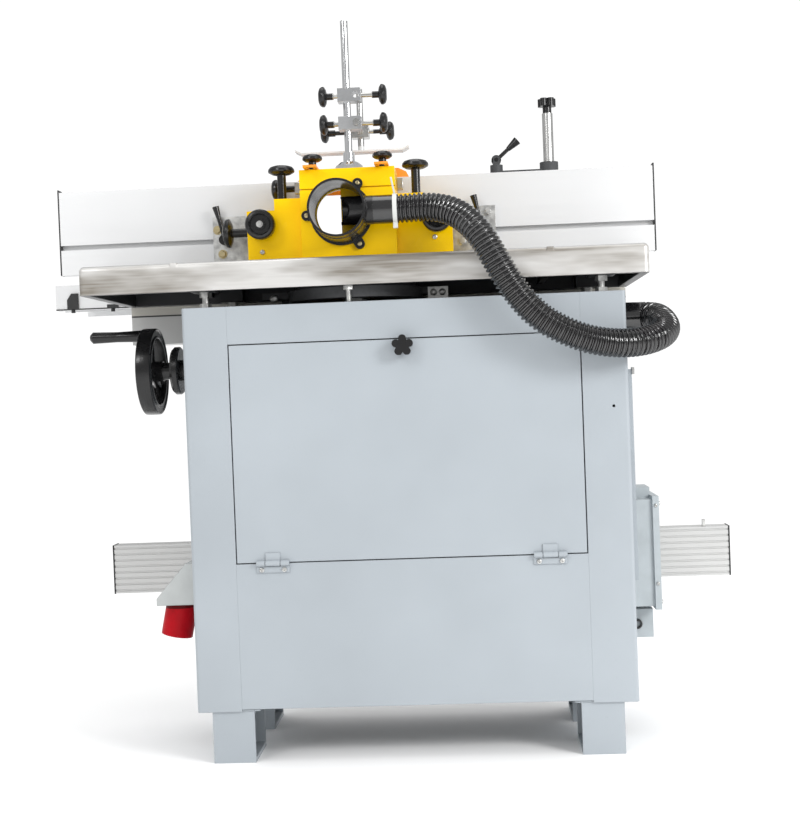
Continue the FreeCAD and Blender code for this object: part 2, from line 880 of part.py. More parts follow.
def spindle_bracket():
    """Casting under the table that holds the guide columns and the lift screw."""
    half = D.bracket_width / 2
    front = spindle_y + D.bracket_front
    back = spindle_y + D.bracket_back
    web_front = back - D.bracket_plate
    arm_left = screw_x - D.screw_arm_width / 2
    arm_right = screw_x + D.screw_arm_width / 2
    arm_front = shaft_y - D.screw_arm_width / 2
    lug_right = screw_x - D.gear_pitch_radius - D.gear_boss_length
    lug_left = lug_right - D.shaft_lug_width
    pieces = [
        box(spindle_x - half, spindle_x + half, front, back, table_bottom - D.bracket_plate, table_bottom),
        box(spindle_x - half, spindle_x + half, front, back, D.bracket_bottom, D.bracket_bottom + D.bracket_plate),
        box(arm_left, spindle_x + half, web_front, back, D.bracket_bottom, table_bottom),
        box(arm_left, arm_right, arm_front, back, D.bracket_bottom, D.bracket_bottom + D.screw_arm_height),
        box(lug_left, arm_right, arm_front, shaft_y + D.screw_arm_width / 2,
            upper_arm_top - D.screw_arm_height, upper_arm_top),
        box(arm_left, arm_right, shaft_y, back, upper_arm_top - D.screw_arm_height, upper_arm_top),
        box(lug_left, lug_right, arm_front, shaft_y + D.screw_arm_width / 2, upper_arm_top - D.screw_arm_height,
            shaft_z + D.screw_arm_width / 2),
    ]
    flange_low = table_bottom - D.bracket_plate
    pieces.append(rod(D.flange_radius, D.bracket_plate, spindle_x, spindle_y, flange_low))
    pieces.append(box(spindle_x - D.flange_lug_reach, spindle_x + D.flange_lug_reach,
                      spindle_y - D.flange_lug_width / 2, spindle_y + D.flange_lug_width / 2,
                      table_bottom - D.flange_lug_plate, table_bottom))
    full = table_bottom - D.bracket_bottom
    bores = [
        rod(D.flange_inner_radius, D.bracket_plate, spindle_x, spindle_y, flange_low),
        rod(D.screw_radius + D.run_clear, upper_arm_top, screw_x, shaft_y, D.bracket_bottom - D.table_gap),
        rod(D.shaft_radius + D.run_clear, D.screw_arm_width, lug_left - D.gear_boss_length, shaft_y, shaft_z, "X"),
    ]
    columns = []
    for side in (-1, 1):
        column_x = spindle_x + D.column_spacing / 2 * side
        columns.append(rod(D.column_radius, full, column_x, column_y, D.bracket_bottom))
        bores.append(rod(D.column_radius, full, column_x, column_y, D.bracket_bottom))
    node("spindle_bracket", cut(fuse(*pieces), *bores))
    node("guide_columns", group(*columns))


def lift_carriage():
    """Quill housing with its two bearings, which slides on the columns and carries the motor."""
    lug_low = D.quill_bottom + (D.quill_length - D.quill_lug_length) / 2
    pieces = [rod(D.quill_radius, D.quill_length, spindle_x, spindle_y, D.quill_bottom)]
    bores = [rod(D.bearing_shoulder, D.quill_length * 2, spindle_x, spindle_y, D.quill_bottom - D.quill_length / 2)]
    for low in (D.quill_bottom, quill_top - D.bearing_width):
        bores.append(rod(D.bearing_radius, D.bearing_width, spindle_x, spindle_y, low))
    pieces.append(box(spindle_x - D.column_spacing / 2, spindle_x + D.column_spacing / 2,
                      spindle_y + D.bearing_radius, column_y, lug_low, lug_low + D.quill_lug_length))
    for side in (-1, 1):
        column_x = spindle_x + D.column_spacing / 2 * side
        pieces.append(rod(D.quill_lug_radius, D.quill_lug_length, column_x, column_y, lug_low))
        bores.append(rod(D.column_radius + D.run_clear, D.quill_length * 2, column_x, column_y,
                         lug_low - D.quill_length / 2))
    nut_half = D.screw_arm_width / 2 - D.run_clear
    pieces.append(box(screw_x - nut_half, spindle_x - D.bearing_radius, shaft_y - nut_half, shaft_y + nut_half,
                      D.quill_bottom, D.quill_bottom + D.nut_arm_height))
    bores.append(rod(D.screw_radius + D.part_clear, D.nut_arm_height * 2, screw_x, shaft_y,
                     D.quill_bottom - D.nut_arm_height / 2))
    web_y = column_y - D.quill_lug_radius + 1
    web_left = spindle_x + D.column_spacing / 2
    web_low_left = spindle_x + D.bracket_width / 2 + D.pulley_gap
    plate_right = motor_x + D.motor_radius + D.motor_plate_margin
    web = [
        (web_left, lug_low),
        (web_low_left, lug_low),
        (web_low_left, motor_top),
        (plate_right, motor_top),
        (plate_right, motor_plate_top),
        (web_low_left + D.bracket_width / 2, lug_low + D.quill_lug_length / 2),
        (web_left, lug_low + D.quill_lug_length / 2),
    ]
    pieces.append(prism("XZ", web, web_y, web_y + D.motor_web))
    plate_half = D.motor_radius + D.motor_plate_margin
    pieces.append(box(web_low_left, plate_right, spindle_y - plate_half, web_y + D.motor_web,
                      motor_top, motor_plate_top))
    bores.append(rod(D.motor_shaft_radius + D.pulley_gap, D.motor_plate * 3, motor_x, spindle_y,
                     motor_top - D.motor_plate))
    rings = []
    for low in (D.quill_bottom, quill_top - D.bearing_width):
        ring = [
            (D.spindle_radius + D.run_clear, 0),
            (D.bearing_radius, 0),
            (D.bearing_radius, D.bearing_width),
            (D.spindle_radius + D.run_clear, D.bearing_width),
        ]
        rings.append(turned(ring, spindle_x, spindle_y, low))
    node("lift_carriage", group(cut(fuse(*pieces), *bores), *rings))


def spindle_parts():
    """Spindle with its arbor, and both pulleys."""
    arbor_base = D.arbor_flange_height + D.part_clear
    top = arbor_base + D.arbor_length
    profile = [
        (0, pulley_bottom - quill_top),
        (D.spindle_radius, pulley_bottom - quill_top),
        (D.spindle_radius, D.part_clear),
        (D.arbor_flange_radius, D.part_clear),
        (D.arbor_flange_radius, arbor_base),
        (D.arbor_collar_radius, arbor_base),
        (D.arbor_collar_radius, top - D.arbor_nut_height * 2),
        (D.arbor_radius + D.collar_wall, top - D.arbor_nut_height * 2),
        (D.arbor_radius + D.collar_wall, top - D.arbor_nut_height),
        (D.arbor_radius, top - D.arbor_nut_height),
        (D.arbor_radius, top),
        (0, top),
    ]
    node("spindle", turned(profile, spindle_x, spindle_y, quill_top))
    node("spindle_pulley", turned(pulley_outline(D.spindle_pulley_radius, D.spindle_radius), spindle_x,
                                  spindle_y, pulley_bottom))
    shaft = rod(D.motor_shaft_radius, D.motor_length / 2, motor_x, spindle_y, pulley_top - D.motor_length / 2)
    rim = turned(pulley_outline(D.motor_pulley_radius, D.motor_shaft_radius - 1), motor_x, spindle_y, pulley_bottom)
    node("motor_pulley", fuse(rim, shaft))


def pulley_outline(radius, bore):
    """Flanged belt pulley, one half of its section."""
    flange = (D.pulley_height - D.belt_width) / 2 - 1
    lip = radius + D.belt_thickness
    return [
        (bore, 0),
        (lip, 0),
        (lip, flange),
        (radius, flange + 1),
        (radius, D.pulley_height - flange - 1),
        (lip, D.pulley_height - flange),
        (lip, D.pulley_height),
        (bore, D.pulley_height),
    ]


def drive_belt():
    """Flat belt round both pulleys, as a band of constant thickness."""
    clear = D.part_clear.value
    span = D.motor_offset_x.value
    loops = []
    for extra in (clear, clear + D.belt_thickness.value):
        small = D.spindle_pulley_radius.value + extra
        large = D.motor_pulley_radius.value + extra
        lean = math.asin((large - small) / span)
        up = V(-math.sin(lean), math.cos(lean), 0)
        down = V(up.x, -up.y, 0)
        far = V(span, 0, 0)
        edges = [
            Part.LineSegment(up * small, far + up * large).toShape(),
            Part.Arc(far + up * large, far + V(large, 0, 0), far + down * large).toShape(),
            Part.LineSegment(far + down * large, down * small).toShape(),
            Part.Arc(down * small, V(-small, 0, 0), up * small).toShape(),
        ]
        loops.append(Part.Face(Part.Wire(edges)).extrude(V(0, 0, D.belt_width.value)))
    belt = doc.addObject("Part::Feature", "Belt")
    belt.Shape = loops[1].cut(loops[0])
    node("drive_belt", place(belt, spindle_x, spindle_y, (pulley_top + pulley_bottom - D.belt_width) / 2))


def motor():
    """Finned motor hanging under its plate, with cowl and terminal box."""
    shield_low = motor_top - D.motor_shield
    body_low = motor_top - D.motor_length + D.motor_cowl
    core = rod(D.motor_core_radius, shield_low - body_low, motor_x, spindle_y, body_low)
    pieces = [core, rod(D.motor_radius, D.motor_shield, motor_x, spindle_y, shield_low)]
    cowl = [
        (0, 0),
        (D.motor_radius - D.motor_shield, 0),
        (D.motor_radius, D.motor_shield),
        (D.motor_radius, D.motor_cowl),
        (0, D.motor_cowl),
    ]
    pieces.append(turned(cowl, motor_x, spindle_y, motor_top - D.motor_length))
    for fin in range(DIMS["motor_fin_count"]):
        blade = doc.addObject("Part::Box", "Fin")
        bind(blade, "Length", D.motor_radius - D.pulley_gap / 2)
        bind(blade, "Width", D.motor_fin_wall)
        bind(blade, "Height", shield_low - body_low)
        turn = FreeCAD.Rotation(V(0, 0, 1), 360 / DIMS["motor_fin_count"] * fin)
        pieces.append(place(blade, motor_x, spindle_y, body_low, turn))
    pieces.append(box(motor_x - D.motor_box_width / 2, motor_x + D.motor_box_width / 2,
                      spindle_y - D.motor_radius - D.motor_box_depth, spindle_y,
                      body_low + D.motor_cowl / 2, shield_low - D.motor_shield))
    bore = rod(D.motor_shaft_radius + D.run_clear, D.motor_length, motor_x, spindle_y,
               pulley_top - D.motor_length / 2 - D.part_clear)
    node("motor", cut(fuse(*pieces), bore))


def bevel_gear(phase):
    """Straight bevel gear with its apex at the origin and its boss below, axis +Z."""
    teeth = DIMS["gear_teeth"]
    pitch = D.gear_pitch_radius.value
    cone = pitch * math.sqrt(2)
    inner = (cone - D.gear_face.value) / cone
    step = 2 * math.pi / teeth
    half_pitch_width = pitch * step / 4 - D.gear_backlash.value / 4
    slope = math.tan(math.radians(20))

    def corner(scale, height, side):
        reach = half_pitch_width - height * slope
        radial = pitch + height / math.sqrt(2)
        level = -pitch + height / math.sqrt(2)
        return V(radial, side * reach, level) * scale

    low = -D.gear_dedendum.value
    high = D.gear_addendum.value
    root = (pitch + low / math.sqrt(2), -pitch + low / math.sqrt(2))
    core_points = [
        V(0, 0, root[1]),
        V(root[0], 0, root[1]),
        V(root[0] * inner, 0, root[1] * inner),
        V(0, 0, root[1] * inner),
    ]
    core = Part.Face(Part.makePolygon(core_points + core_points[:1])).revolve(V(0, 0, 0), V(0, 0, 1), 360)
    solid = core
    sunk = low - 1
    for tooth in range(teeth):
        big, small = [[corner(scale, sunk, -1), corner(scale, high, -1), corner(scale, high, 1),
                       corner(scale, sunk, 1)] for scale in (1, inner)]
        quads = [big, small]
        for first in range(4):
            second = (first + 1) % 4
            quads.append([big[first], big[second], small[second], small[first]])
        faces = [Part.Face(Part.makePolygon(quad + quad[:1])) for quad in quads]
        blade = Part.makeSolid(Part.makeShell(faces))
        if blade.Volume < 0:
            blade.reverse()
        blade.rotate(V(0, 0, 0), V(0, 0, 1), math.degrees(step * (tooth + phase)))
        solid = solid.fuse(blade)
    boss_low = -pitch - D.gear_boss_length.value + D.part_clear.value
    boss = Part.makeCylinder(D.gear_boss_radius.value, root[1] - boss_low, V(0, 0, boss_low))
    return solid.fuse(boss)


def lift_screw():
    """Lift screw with the driven bevel gear on its top end."""
    gear = doc.addObject("Part::Feature", "ScrewGear")
    gear.Shape = bevel_gear(0)
    place(gear, screw_x, shaft_y, shaft_z)
    bottom = D.bracket_bottom - D.part_clear
    top = shaft_z - D.gear_pitch_radius
    stem = rod(D.screw_radius, top - bottom, screw_x, shaft_y, bottom)
    node("lift_screw", fuse(gear, stem))


def handwheel():
    """Handwheel on its shaft, with driving gear, crank grip and lock ring."""
    wheel_x = cab_left - D.handwheel_standoff
    gear = doc.addObject("Part::Feature", "ShaftGear")
    gear.Shape = bevel_gear(0.5)
    place(gear, screw_x, shaft_y, shaft_z, AXIS_TURNS["X"])
    hub_start = wheel_x - D.handwheel_hub_length / 2
    gear_x = screw_x - D.gear_pitch_radius
    shaft = rod(D.shaft_radius, gear_x - hub_start, hub_start, shaft_y, shaft_z, "X")
    node("handwheel_shaft", fuse(gear, shaft))
    half_width = D.handwheel_rim_width / 2
    inner = D.handwheel_radius - D.handwheel_rim
    bevel = D.handwheel_rim / 4
    middle = (inner + D.handwheel_radius) / 2
    rim = []
    for corner in range(12):
        angle = math.radians(15 + 30 * corner)
        rim.append((middle + D.handwheel_rim / 2 * math.cos(angle), half_width * math.sin(angle)))
    hub = rod(D.handwheel_hub_radius, D.handwheel_hub_length, hub_start, shaft_y, shaft_z, "X")
    pieces = [turned(rim, wheel_x, shaft_y, shaft_z, "X"), hub]
    for spoke in range(DIMS["handwheel_spokes"]):
        arm = doc.addObject("Part::Cylinder", "Spoke")
        bind(arm, "Radius", D.spoke_radius)
        bind(arm, "Height", inner + bevel)
        turn = FreeCAD.Rotation(V(1, 0, 0), 360 / DIMS["handwheel_spokes"] * spoke)
        pieces.append(place(arm, wheel_x, shaft_y, shaft_z, turn))
    crank_z = shaft_z + D.crank_orbit
    grip_x = wheel_x - half_width - D.part_clear
    pieces.append(rod(D.crank_pin_radius, half_width + D.crank_grip_length - D.crank_pin_radius, wheel_x,
                      shaft_y, crank_z, "-X"))
    bore = rod(D.shaft_radius, D.handwheel_hub_length, hub_start, shaft_y, shaft_z, "X")
    node("handwheel", cut(fuse(*pieces), bore))
    grip = [
        (D.crank_pin_radius + D.run_clear, 0),
        (D.crank_grip_radius - bevel / 2, 0),
        (D.crank_grip_radius, bevel),
        (D.crank_grip_radius - bevel / 4, D.crank_grip_length / 2),
        (D.crank_grip_radius, D.crank_grip_length - bevel),
        (D.crank_grip_radius - bevel, D.crank_grip_length),
        (0, D.crank_grip_length),
        (0, D.crank_grip_length - bevel / 2),
        (D.crank_pin_radius + D.run_clear, D.crank_grip_length - bevel / 2),
    ]
    node("crank_handle", turned(grip, grip_x, shaft_y, crank_z, "-X"))
    ring = [
        (D.shaft_radius + D.run_clear, D.part_clear),
        (D.lock_ring_neck, D.part_clear),
        (D.lock_ring_neck, D.lock_ring_standoff - D.lock_ring_width),
        (D.lock_ring_radius - bevel / 2, D.lock_ring_standoff - D.lock_ring_width),
        (D.lock_ring_radius, D.lock_ring_standoff - D.lock_ring_width + bevel / 2),
        (D.lock_ring_radius, D.lock_ring_standoff - bevel),
        (D.lock_ring_radius - bevel, D.lock_ring_standoff),
        (D.shaft_radius + D.run_clear, D.lock_ring_standoff),
    ]
    node("lock_ring", turned(ring, cab_left, shaft_y, shaft_z, "-X"))


def hood():
    """Hood over the spindle: two wings, a taller block and a crown, open below and in front."""
    wing_rear = hood_rear + D.wing_setback

    def section(inset, base):
        wing = D.hood_half_width - inset
        block = D.hood_block_half - inset
        wing_top = table_top + D.hood_wing_height - inset
        block_top = table_top + D.hood_block_height - inset
        return [
            (spindle_x - wing, base),
            (spindle_x + wing, base),
            (spindle_x + wing, wing_top),
            (spindle_x + block, wing_top),
            (spindle_x + block, block_top),
            (spindle_x - block, block_top),
            (spindle_x - block, wing_top),
            (spindle_x - wing, wing_top),
        ]

    seam = cover_top - D.cover_skirt - D.cover_gap
    crown_inset = D.cover_wall + D.part_clear

    def duct(inset, front, base, top):
        half = D.hood_crown_half - inset
        return box(spindle_x - half, spindle_x + half, hood_rear + inset, front, base, top)

    deep = table_top - D.hood_wall
    ahead = hood_front + D.hood_wall
    outer = fuse(prism("XZ", section(0, table_top), wing_rear, hood_front),
                 duct(0, hood_front, table_top, seam), duct(crown_inset, hood_front, table_top, crown_top))
    inner = fuse(prism("XZ", section(D.hood_wall, deep), wing_rear + D.hood_wall, ahead),
                 duct(D.hood_wall, ahead, deep, seam - D.hood_wall),
                 duct(crown_inset + D.hood_wall, ahead, deep, crown_top - D.hood_wall))
    mouth = rod(D.collar_radius - D.collar_wall - D.port_rim, D.hood_wall * 3, port_x, hood_rear - D.hood_wall,
                port_z, "Y")
    half_plane = box(port_x - D.collar_radius * 2, port_x, hood_rear - D.hood_wall * 2, hood_front,
                     table_top, crown_top)
    tools = [inner, common(mouth, half_plane)]
    for side in (-1, 1):
        tools.append(rod(D.hood_bolt_radius + D.part_clear, D.hood_crown_height,
                         spindle_x + D.hood_knob_offset * side, hood_knob_y, table_top))
        tools.append(rod(D.guard_bolt_radius + D.run_clear, D.hood_crown_height,
                         spindle_x + D.guard_knob_offset * side, hood_rear + D.guard_knob_setback,
                         table_top + D.hood_block_height))
    for side in (-1, 1):
        tools.append(rod(D.adjuster_screw_radius + D.run_clear, D.hood_wall * 3,
                         spindle_x + D.adjuster_offset * side, wing_rear - D.hood_wall,
                         table_top + D.adjuster_height, "Y"))
    tools.append(rod(D.lock_screw_radius + D.run_clear, D.hood_wall * 3,
                     spindle_x - D.hood_half_width - D.hood_wall, hood_rear + D.lock_setback,
                     table_top + D.lock_height, "X"))
    node("hood", cut(outer, *tools))
    half = D.hood_crown_half
    roomy = half - D.cover_wall
    shell = box(spindle_x - half, spindle_x + half, hood_rear, hood_front, cover_top - D.cover_skirt, cover_top)
    room = box(spindle_x - roomy, spindle_x + roomy, hood_rear + D.cover_wall, hood_front + D.cover_wall,
               cover_top - D.cover_skirt - D.cover_wall, crown_top)
    cap = cut(shell, room)
    bores = [rod(D.guard_bolt_radius + D.run_clear, D.hood_wall * 3, spindle_x + D.guard_knob_offset * side,
                 hood_rear + D.guard_knob_setback, crown_top - D.hood_wall) for side in (-1, 1)]
    side_x = spindle_x - half
    side_y = hood_rear + D.side_knob_setback
    side_z = cover_top - D.side_knob_drop
    side_half = D.side_block_size / 2
    block = box(side_x - D.side_block_reach, side_x + D.cover_wall / 2, side_y - side_half, side_y + side_half,
                side_z - side_half, side_z + side_half)
    bores.append(rod(D.clamp_screw_radius + D.run_clear, D.clamp_screw_depth, side_x - D.side_block_reach, side_y,
                     side_z, "X"))
    node("hood_cover", cut(fuse(cap, block), *bores))
    node("side_knob", mushroom(
        side_x - D.side_block_reach - D.part_clear, side_y, side_z, "-X", D.side_knob_stem, D.clamp_knob_radius,
        D.clamp_knob_height, D.clamp_knob_stem_radius, D.clamp_screw_radius, D.clamp_screw_depth - D.part_clear))


def dust_collar():
    """Round port on the hood with three ears and a side branch for the hose."""
    tube = [
        (D.collar_radius - D.collar_wall, 0),
        (D.collar_flange_radius, 0),
        (D.collar_flange_radius, D.collar_flange_wall),
        (D.collar_radius + D.collar_step, D.collar_flange_wall),
        (D.collar_radius + D.collar_step, D.collar_length - D.collar_spigot),
        (D.collar_radius, D.collar_length - D.collar_spigot),
        (D.collar_radius, D.collar_length),
        (D.collar_radius - D.collar_wall, D.collar_length),
    ]
    pieces = [turned(tube, port_x, hood_rear, port_z, "-Y")]
    holes = []
    for angle in (60, 180, 300):
        across = D.collar_ear_orbit * math.cos(math.radians(angle))
        along = D.collar_ear_orbit * math.sin(math.radians(angle))
        pieces.append(rod(D.collar_ear_radius, D.collar_flange_wall, port_x + across, hood_rear, port_z + along, "-Y"))
        tab = doc.addObject("Part::Box", "Ear")
        bind(tab, "Length", D.collar_ear_orbit - D.collar_radius + D.collar_wall)
        bind(tab, "Width", D.collar_flange_wall)
        bind(tab, "Height", D.collar_ear_radius * 2)
        inner = D.collar_radius - D.collar_wall
        turn = math.radians(angle)
        place(tab, port_x + inner * math.cos(turn) + D.collar_ear_radius * math.sin(turn),
              hood_rear - D.collar_flange_wall,
              port_z + inner * math.sin(turn) - D.collar_ear_radius * math.cos(turn),
              FreeCAD.Rotation(V(0, 1, 0), -angle))
        pieces.append(tab)
        holes.append(rod(D.collar_ear_hole, D.collar_flange_wall, port_x + across, hood_rear, port_z + along, "-Y"))
    start = port_x + D.branch_inset
    branch = rod(D.hose_radius, D.branch_reach - D.branch_inset, start, branch_y, port_z, "X")
    slant = doc.addObject("Part::Box", "Slant")
    bind(slant, "Length", D.collar_radius * 2)
    bind(slant, "Width", D.collar_radius * 4)
    bind(slant, "Height", D.collar_radius * 2)
    place(slant, start - D.collar_radius, branch_y - D.collar_radius * 2, port_z - D.collar_radius,
          FreeCAD.Rotation(V(0, 0, 1), 45))
    pieces.append(cut(branch, slant))
    holes.append(rod(D.hose_radius - D.branch_wall, D.branch_reach * 2, port_x - D.collar_radius / 2, branch_y,
                     port_z, "X"))
    body = fuse(*pieces)
    bore = holes.pop()
    inside = box(port_x, port_x + D.branch_reach * 2, branch_y - D.collar_radius, hood_rear + D.collar_wall,
                 port_z - D.collar_radius, port_z + D.collar_radius)
    bore_tube = rod(D.collar_radius - D.collar_wall, D.collar_flange_wall, port_x, hood_rear, port_z, "-Y")
    node("dust_collar", cut(body, common(bore, inside), bore_tube, *holes))


def mushroom(x, y, z, axis, stem, radius, height, stem_radius, screw_radius, screw_length):
    """Mushroom knob on a stem, with its screw behind it."""
    rim = stem + height * 0.42
    profile = [
        (0, -1 * screw_length),
        (screw_radius, -1 * screw_length),
        (screw_radius, 0),
        (stem_radius, 0),
        (stem_radius, stem),
        (stem_radius + (radius - stem_radius) * 0.55, stem + height * 0.1),
        (radius * 0.96, rim - height * 0.12),
        (radius, rim),
        (radius * 0.97, rim + height * 0.22),
        (radius * 0.84, stem + height * 0.86),
        (radius * 0.55, stem + height),
        (0, stem + height),
    ]
    return turned(profile, x, y, z, axis)


def hood_knobs():
    """Tall knobs that hold the hood to the table, and small ones that hold the guard."""
    block_top = table_top + D.hood_block_height
    for side, name in ((-1, "left"), (1, "right")):
        node(f"{name}_hood_knob", mushroom(
            spindle_x + D.hood_knob_offset * side, hood_knob_y, block_top + D.part_clear, "Z", D.mushroom_stem,
            D.mushroom_radius, D.mushroom_height, D.mushroom_stem_radius, D.hood_bolt_radius,
            D.hood_block_height + D.table_thickness - D.stud_nut_height))
        node(f"{name}_guard_knob", mushroom(
            spindle_x + D.guard_knob_offset * side, hood_rear + D.guard_knob_setback,
            cover_top + D.guard_wall + D.part_clear * 2, "Z", D.guard_knob_stem, D.guard_knob_radius,
            D.guard_knob_height, D.mushroom_stem_radius - 1, D.guard_bolt_radius,
            D.guard_wall + D.cover_wall + D.hood_wall * 2))


def front_guard():
    """Visor in front of the fence on two slotted arms over the cover."""
    face_y = fence_rear + D.fence_thickness + D.guard_gap
    arm_low = cover_top + D.part_clear
    arm_high = arm_low + D.guard_wall
    top = arm_high + D.guard_rise
    low = arm_low - D.guard_drop
    half = D.guard_half_width
    corner = D.guard_corner
    visor = [
        (spindle_x - half, low),
        (spindle_x + half, low),
        (spindle_x + half, top - corner),
        (spindle_x + half - corner / 3, top - corner / 3),
        (spindle_x + half - corner, top),
        (spindle_x - half + corner, top),
        (spindle_x - half + corner / 3, top - corner / 3),
        (spindle_x - half, top - corner),
    ]
    pieces = [prism("XZ", visor, face_y, face_y + D.guard_wall)]
    slots = []
    knob_y = hood_rear + D.guard_knob_setback
    slot_half = D.guard_bolt_radius + 1
    for side in (-1, 1):
        arm_x = spindle_x + D.guard_knob_offset * side
        rear = knob_y - D.guard_travel - D.guard_arm_width / 2
        pieces.append(box(arm_x - D.guard_arm_width / 2, arm_x + D.guard_arm_width / 2, rear,
                          face_y + D.guard_wall, arm_low, arm_high))
        slots.append(box(arm_x - slot_half, arm_x + slot_half, knob_y - D.guard_travel - slot_half,
                         knob_y + slot_half, arm_low - D.guard_wall, arm_high + D.guard_wall))
    node("front_guard", cut(fuse(*pieces), *slots))


def fences():
    """Fence plates on their carriers, with adjusters, lock knobs and clamp levers."""
    slot_z = table_top + D.fence_slot_height
    base = table_top + D.fence_lift
    top = base + D.fence_height
    neck = fence_rear + D.fence_slot_depth
    pocket = neck + D.fence_slot_head_depth
    mouth = D.fence_slot_mouth / 2
    head = D.fence_slot_head / 2
    profile = [
        (fence_rear, base),
        (fence_rear + D.fence_thickness, base),
        (fence_rear + D.fence_thickness, top),
        (fence_rear, top),
        (fence_rear, slot_z + mouth),
        (neck, slot_z + mouth),
        (neck, slot_z + head),
        (pocket, slot_z + head),
        (pocket, slot_z - head),
        (neck, slot_z - head),
        (neck, slot_z - mouth),
        (fence_rear, slot_z - mouth),
    ]
    plate_back = fence_rear - D.part_clear
    plate_front = plate_back - D.carrier_wall
    bar_rear = hood_rear + D.wing_setback + D.hood_wall + D.carrier_travel + D.adjuster_neck
    for side, name in ((-1, "left"), (1, "right")):
        inner = spindle_x + D.fence_gap_half * side
        outer = inner + D.fence_length * side
        low, high = (outer, inner) if side < 0 else (inner, outer)
        node(f"{name}_fence", prism("YZ", profile, low, high))
        adjuster_x = spindle_x + D.adjuster_offset * side
        lever_x = spindle_x + D.lever_offset * side
        plate = box(adjuster_x - D.carrier_bar_width / 2 * side, spindle_x + D.carrier_reach * side, plate_front,
                    plate_back, table_top + D.fence_lift, table_top + D.carrier_height)
        bar = box(adjuster_x - D.carrier_bar_width / 2, adjuster_x + D.carrier_bar_width / 2, bar_rear, plate_back,
                  table_top + D.carrier_bar_low, table_top + D.carrier_bar_low + D.carrier_bar_height)
        screw_bore = rod(D.adjuster_screw_radius + D.part_clear, D.hood_depth, adjuster_x, hood_rear,
                         table_top + D.adjuster_height, "Y")
        lever_bore = rod(D.lever_stem_radius + D.run_clear, D.carrier_wall * 3, lever_x,
                         plate_front - D.carrier_wall, slot_z, "Y")
        node(f"{name}_carrier", cut(fuse(plate, bar), screw_bore, lever_bore))
        fence_adjuster(name, adjuster_x)
        lever(name, lever_x, plate_front - D.part_clear, slot_z)


def fence_adjuster(name, x):
    """Dished fine-adjuster knob with its screw, and on the left the knob that locks the carrier."""
    neck = D.adjuster_neck
    face = neck + D.adjuster_thickness
    edge = D.adjuster_thickness / 5
    profile = [
        (0, -1 * D.adjuster_screw_length),
        (D.adjuster_screw_radius, -1 * D.adjuster_screw_length),
        (D.adjuster_screw_radius, 0),
        (D.mushroom_stem_radius + 4, 0),
        (D.mushroom_stem_radius + 4, neck),
        (D.adjuster_radius - edge, neck),
        (D.adjuster_radius, neck + edge),
        (D.adjuster_radius, face - edge),
        (D.adjuster_radius - edge / 2, face - edge / 4),
        (D.adjuster_dish_radius + edge / 2, face),
        (D.adjuster_dish_radius, face - edge / 2),
        (D.adjuster_dish_radius - 1, face - D.adjuster_dish_depth),
        (D.adjuster_boss_radius, face - D.adjuster_dish_depth),
        (D.adjuster_boss_radius, face - edge / 2),
        (0, face - edge / 2),
    ]
    y = hood_rear + D.wing_setback - D.part_clear
    node(f"{name}_adjuster", turned(profile, x, y, table_top + D.adjuster_height, "-Y"))
    if name == "left":
        bar_face = D.adjuster_offset + D.carrier_bar_width / 2 + D.part_clear
        node("left_lock_knob", mushroom(
            spindle_x - D.hood_half_width - D.part_clear, hood_rear + D.lock_setback, table_top + D.lock_height,
            "-X", D.lock_stem, D.adjuster_radius, D.mushroom_height, D.mushroom_stem_radius,
            D.lock_screw_radius, D.hood_half_width - bar_face))


def lever(name, x, y, z):
    """Clamp lever whose stem reaches into the fence's slot."""
    hub = rod(D.lever_hub_radius, D.lever_hub_length, x, y, z, "-Y")
    stem = rod(D.lever_stem_radius, D.carrier_wall + D.fence_slot_depth + D.part_clear * 3, x, y, z, "Y")
    lean = FreeCAD.Rotation(V(0, 1, 0), DIMS["lever_lean"])
    arm = doc.addObject("Part::Cylinder", "LeverArm")
    bind(arm, "Radius", D.lever_arm_radius)
    bind(arm, "Height", D.lever_arm_length)
    arm_y = y - D.lever_hub_length / 2
    place(arm, x, arm_y, z, lean)
    grip = doc.addObject("Part::Cone", "LeverGrip")
    bind(grip, "Radius1", D.lever_arm_radius)
    bind(grip, "Radius2", D.lever_grip_radius)
    bind(grip, "Height", D.lever_grip_length)
    lean_angle = math.radians(DIMS["lever_lean"])
    start = D.lever_arm_length - D.lever_grip_length / 4
    place(grip, x + start * math.sin(lean_angle), arm_y, z + start * math.cos(lean_angle), lean)
    node(f"{name}_lever", fuse(hub, stem, arm, grip))


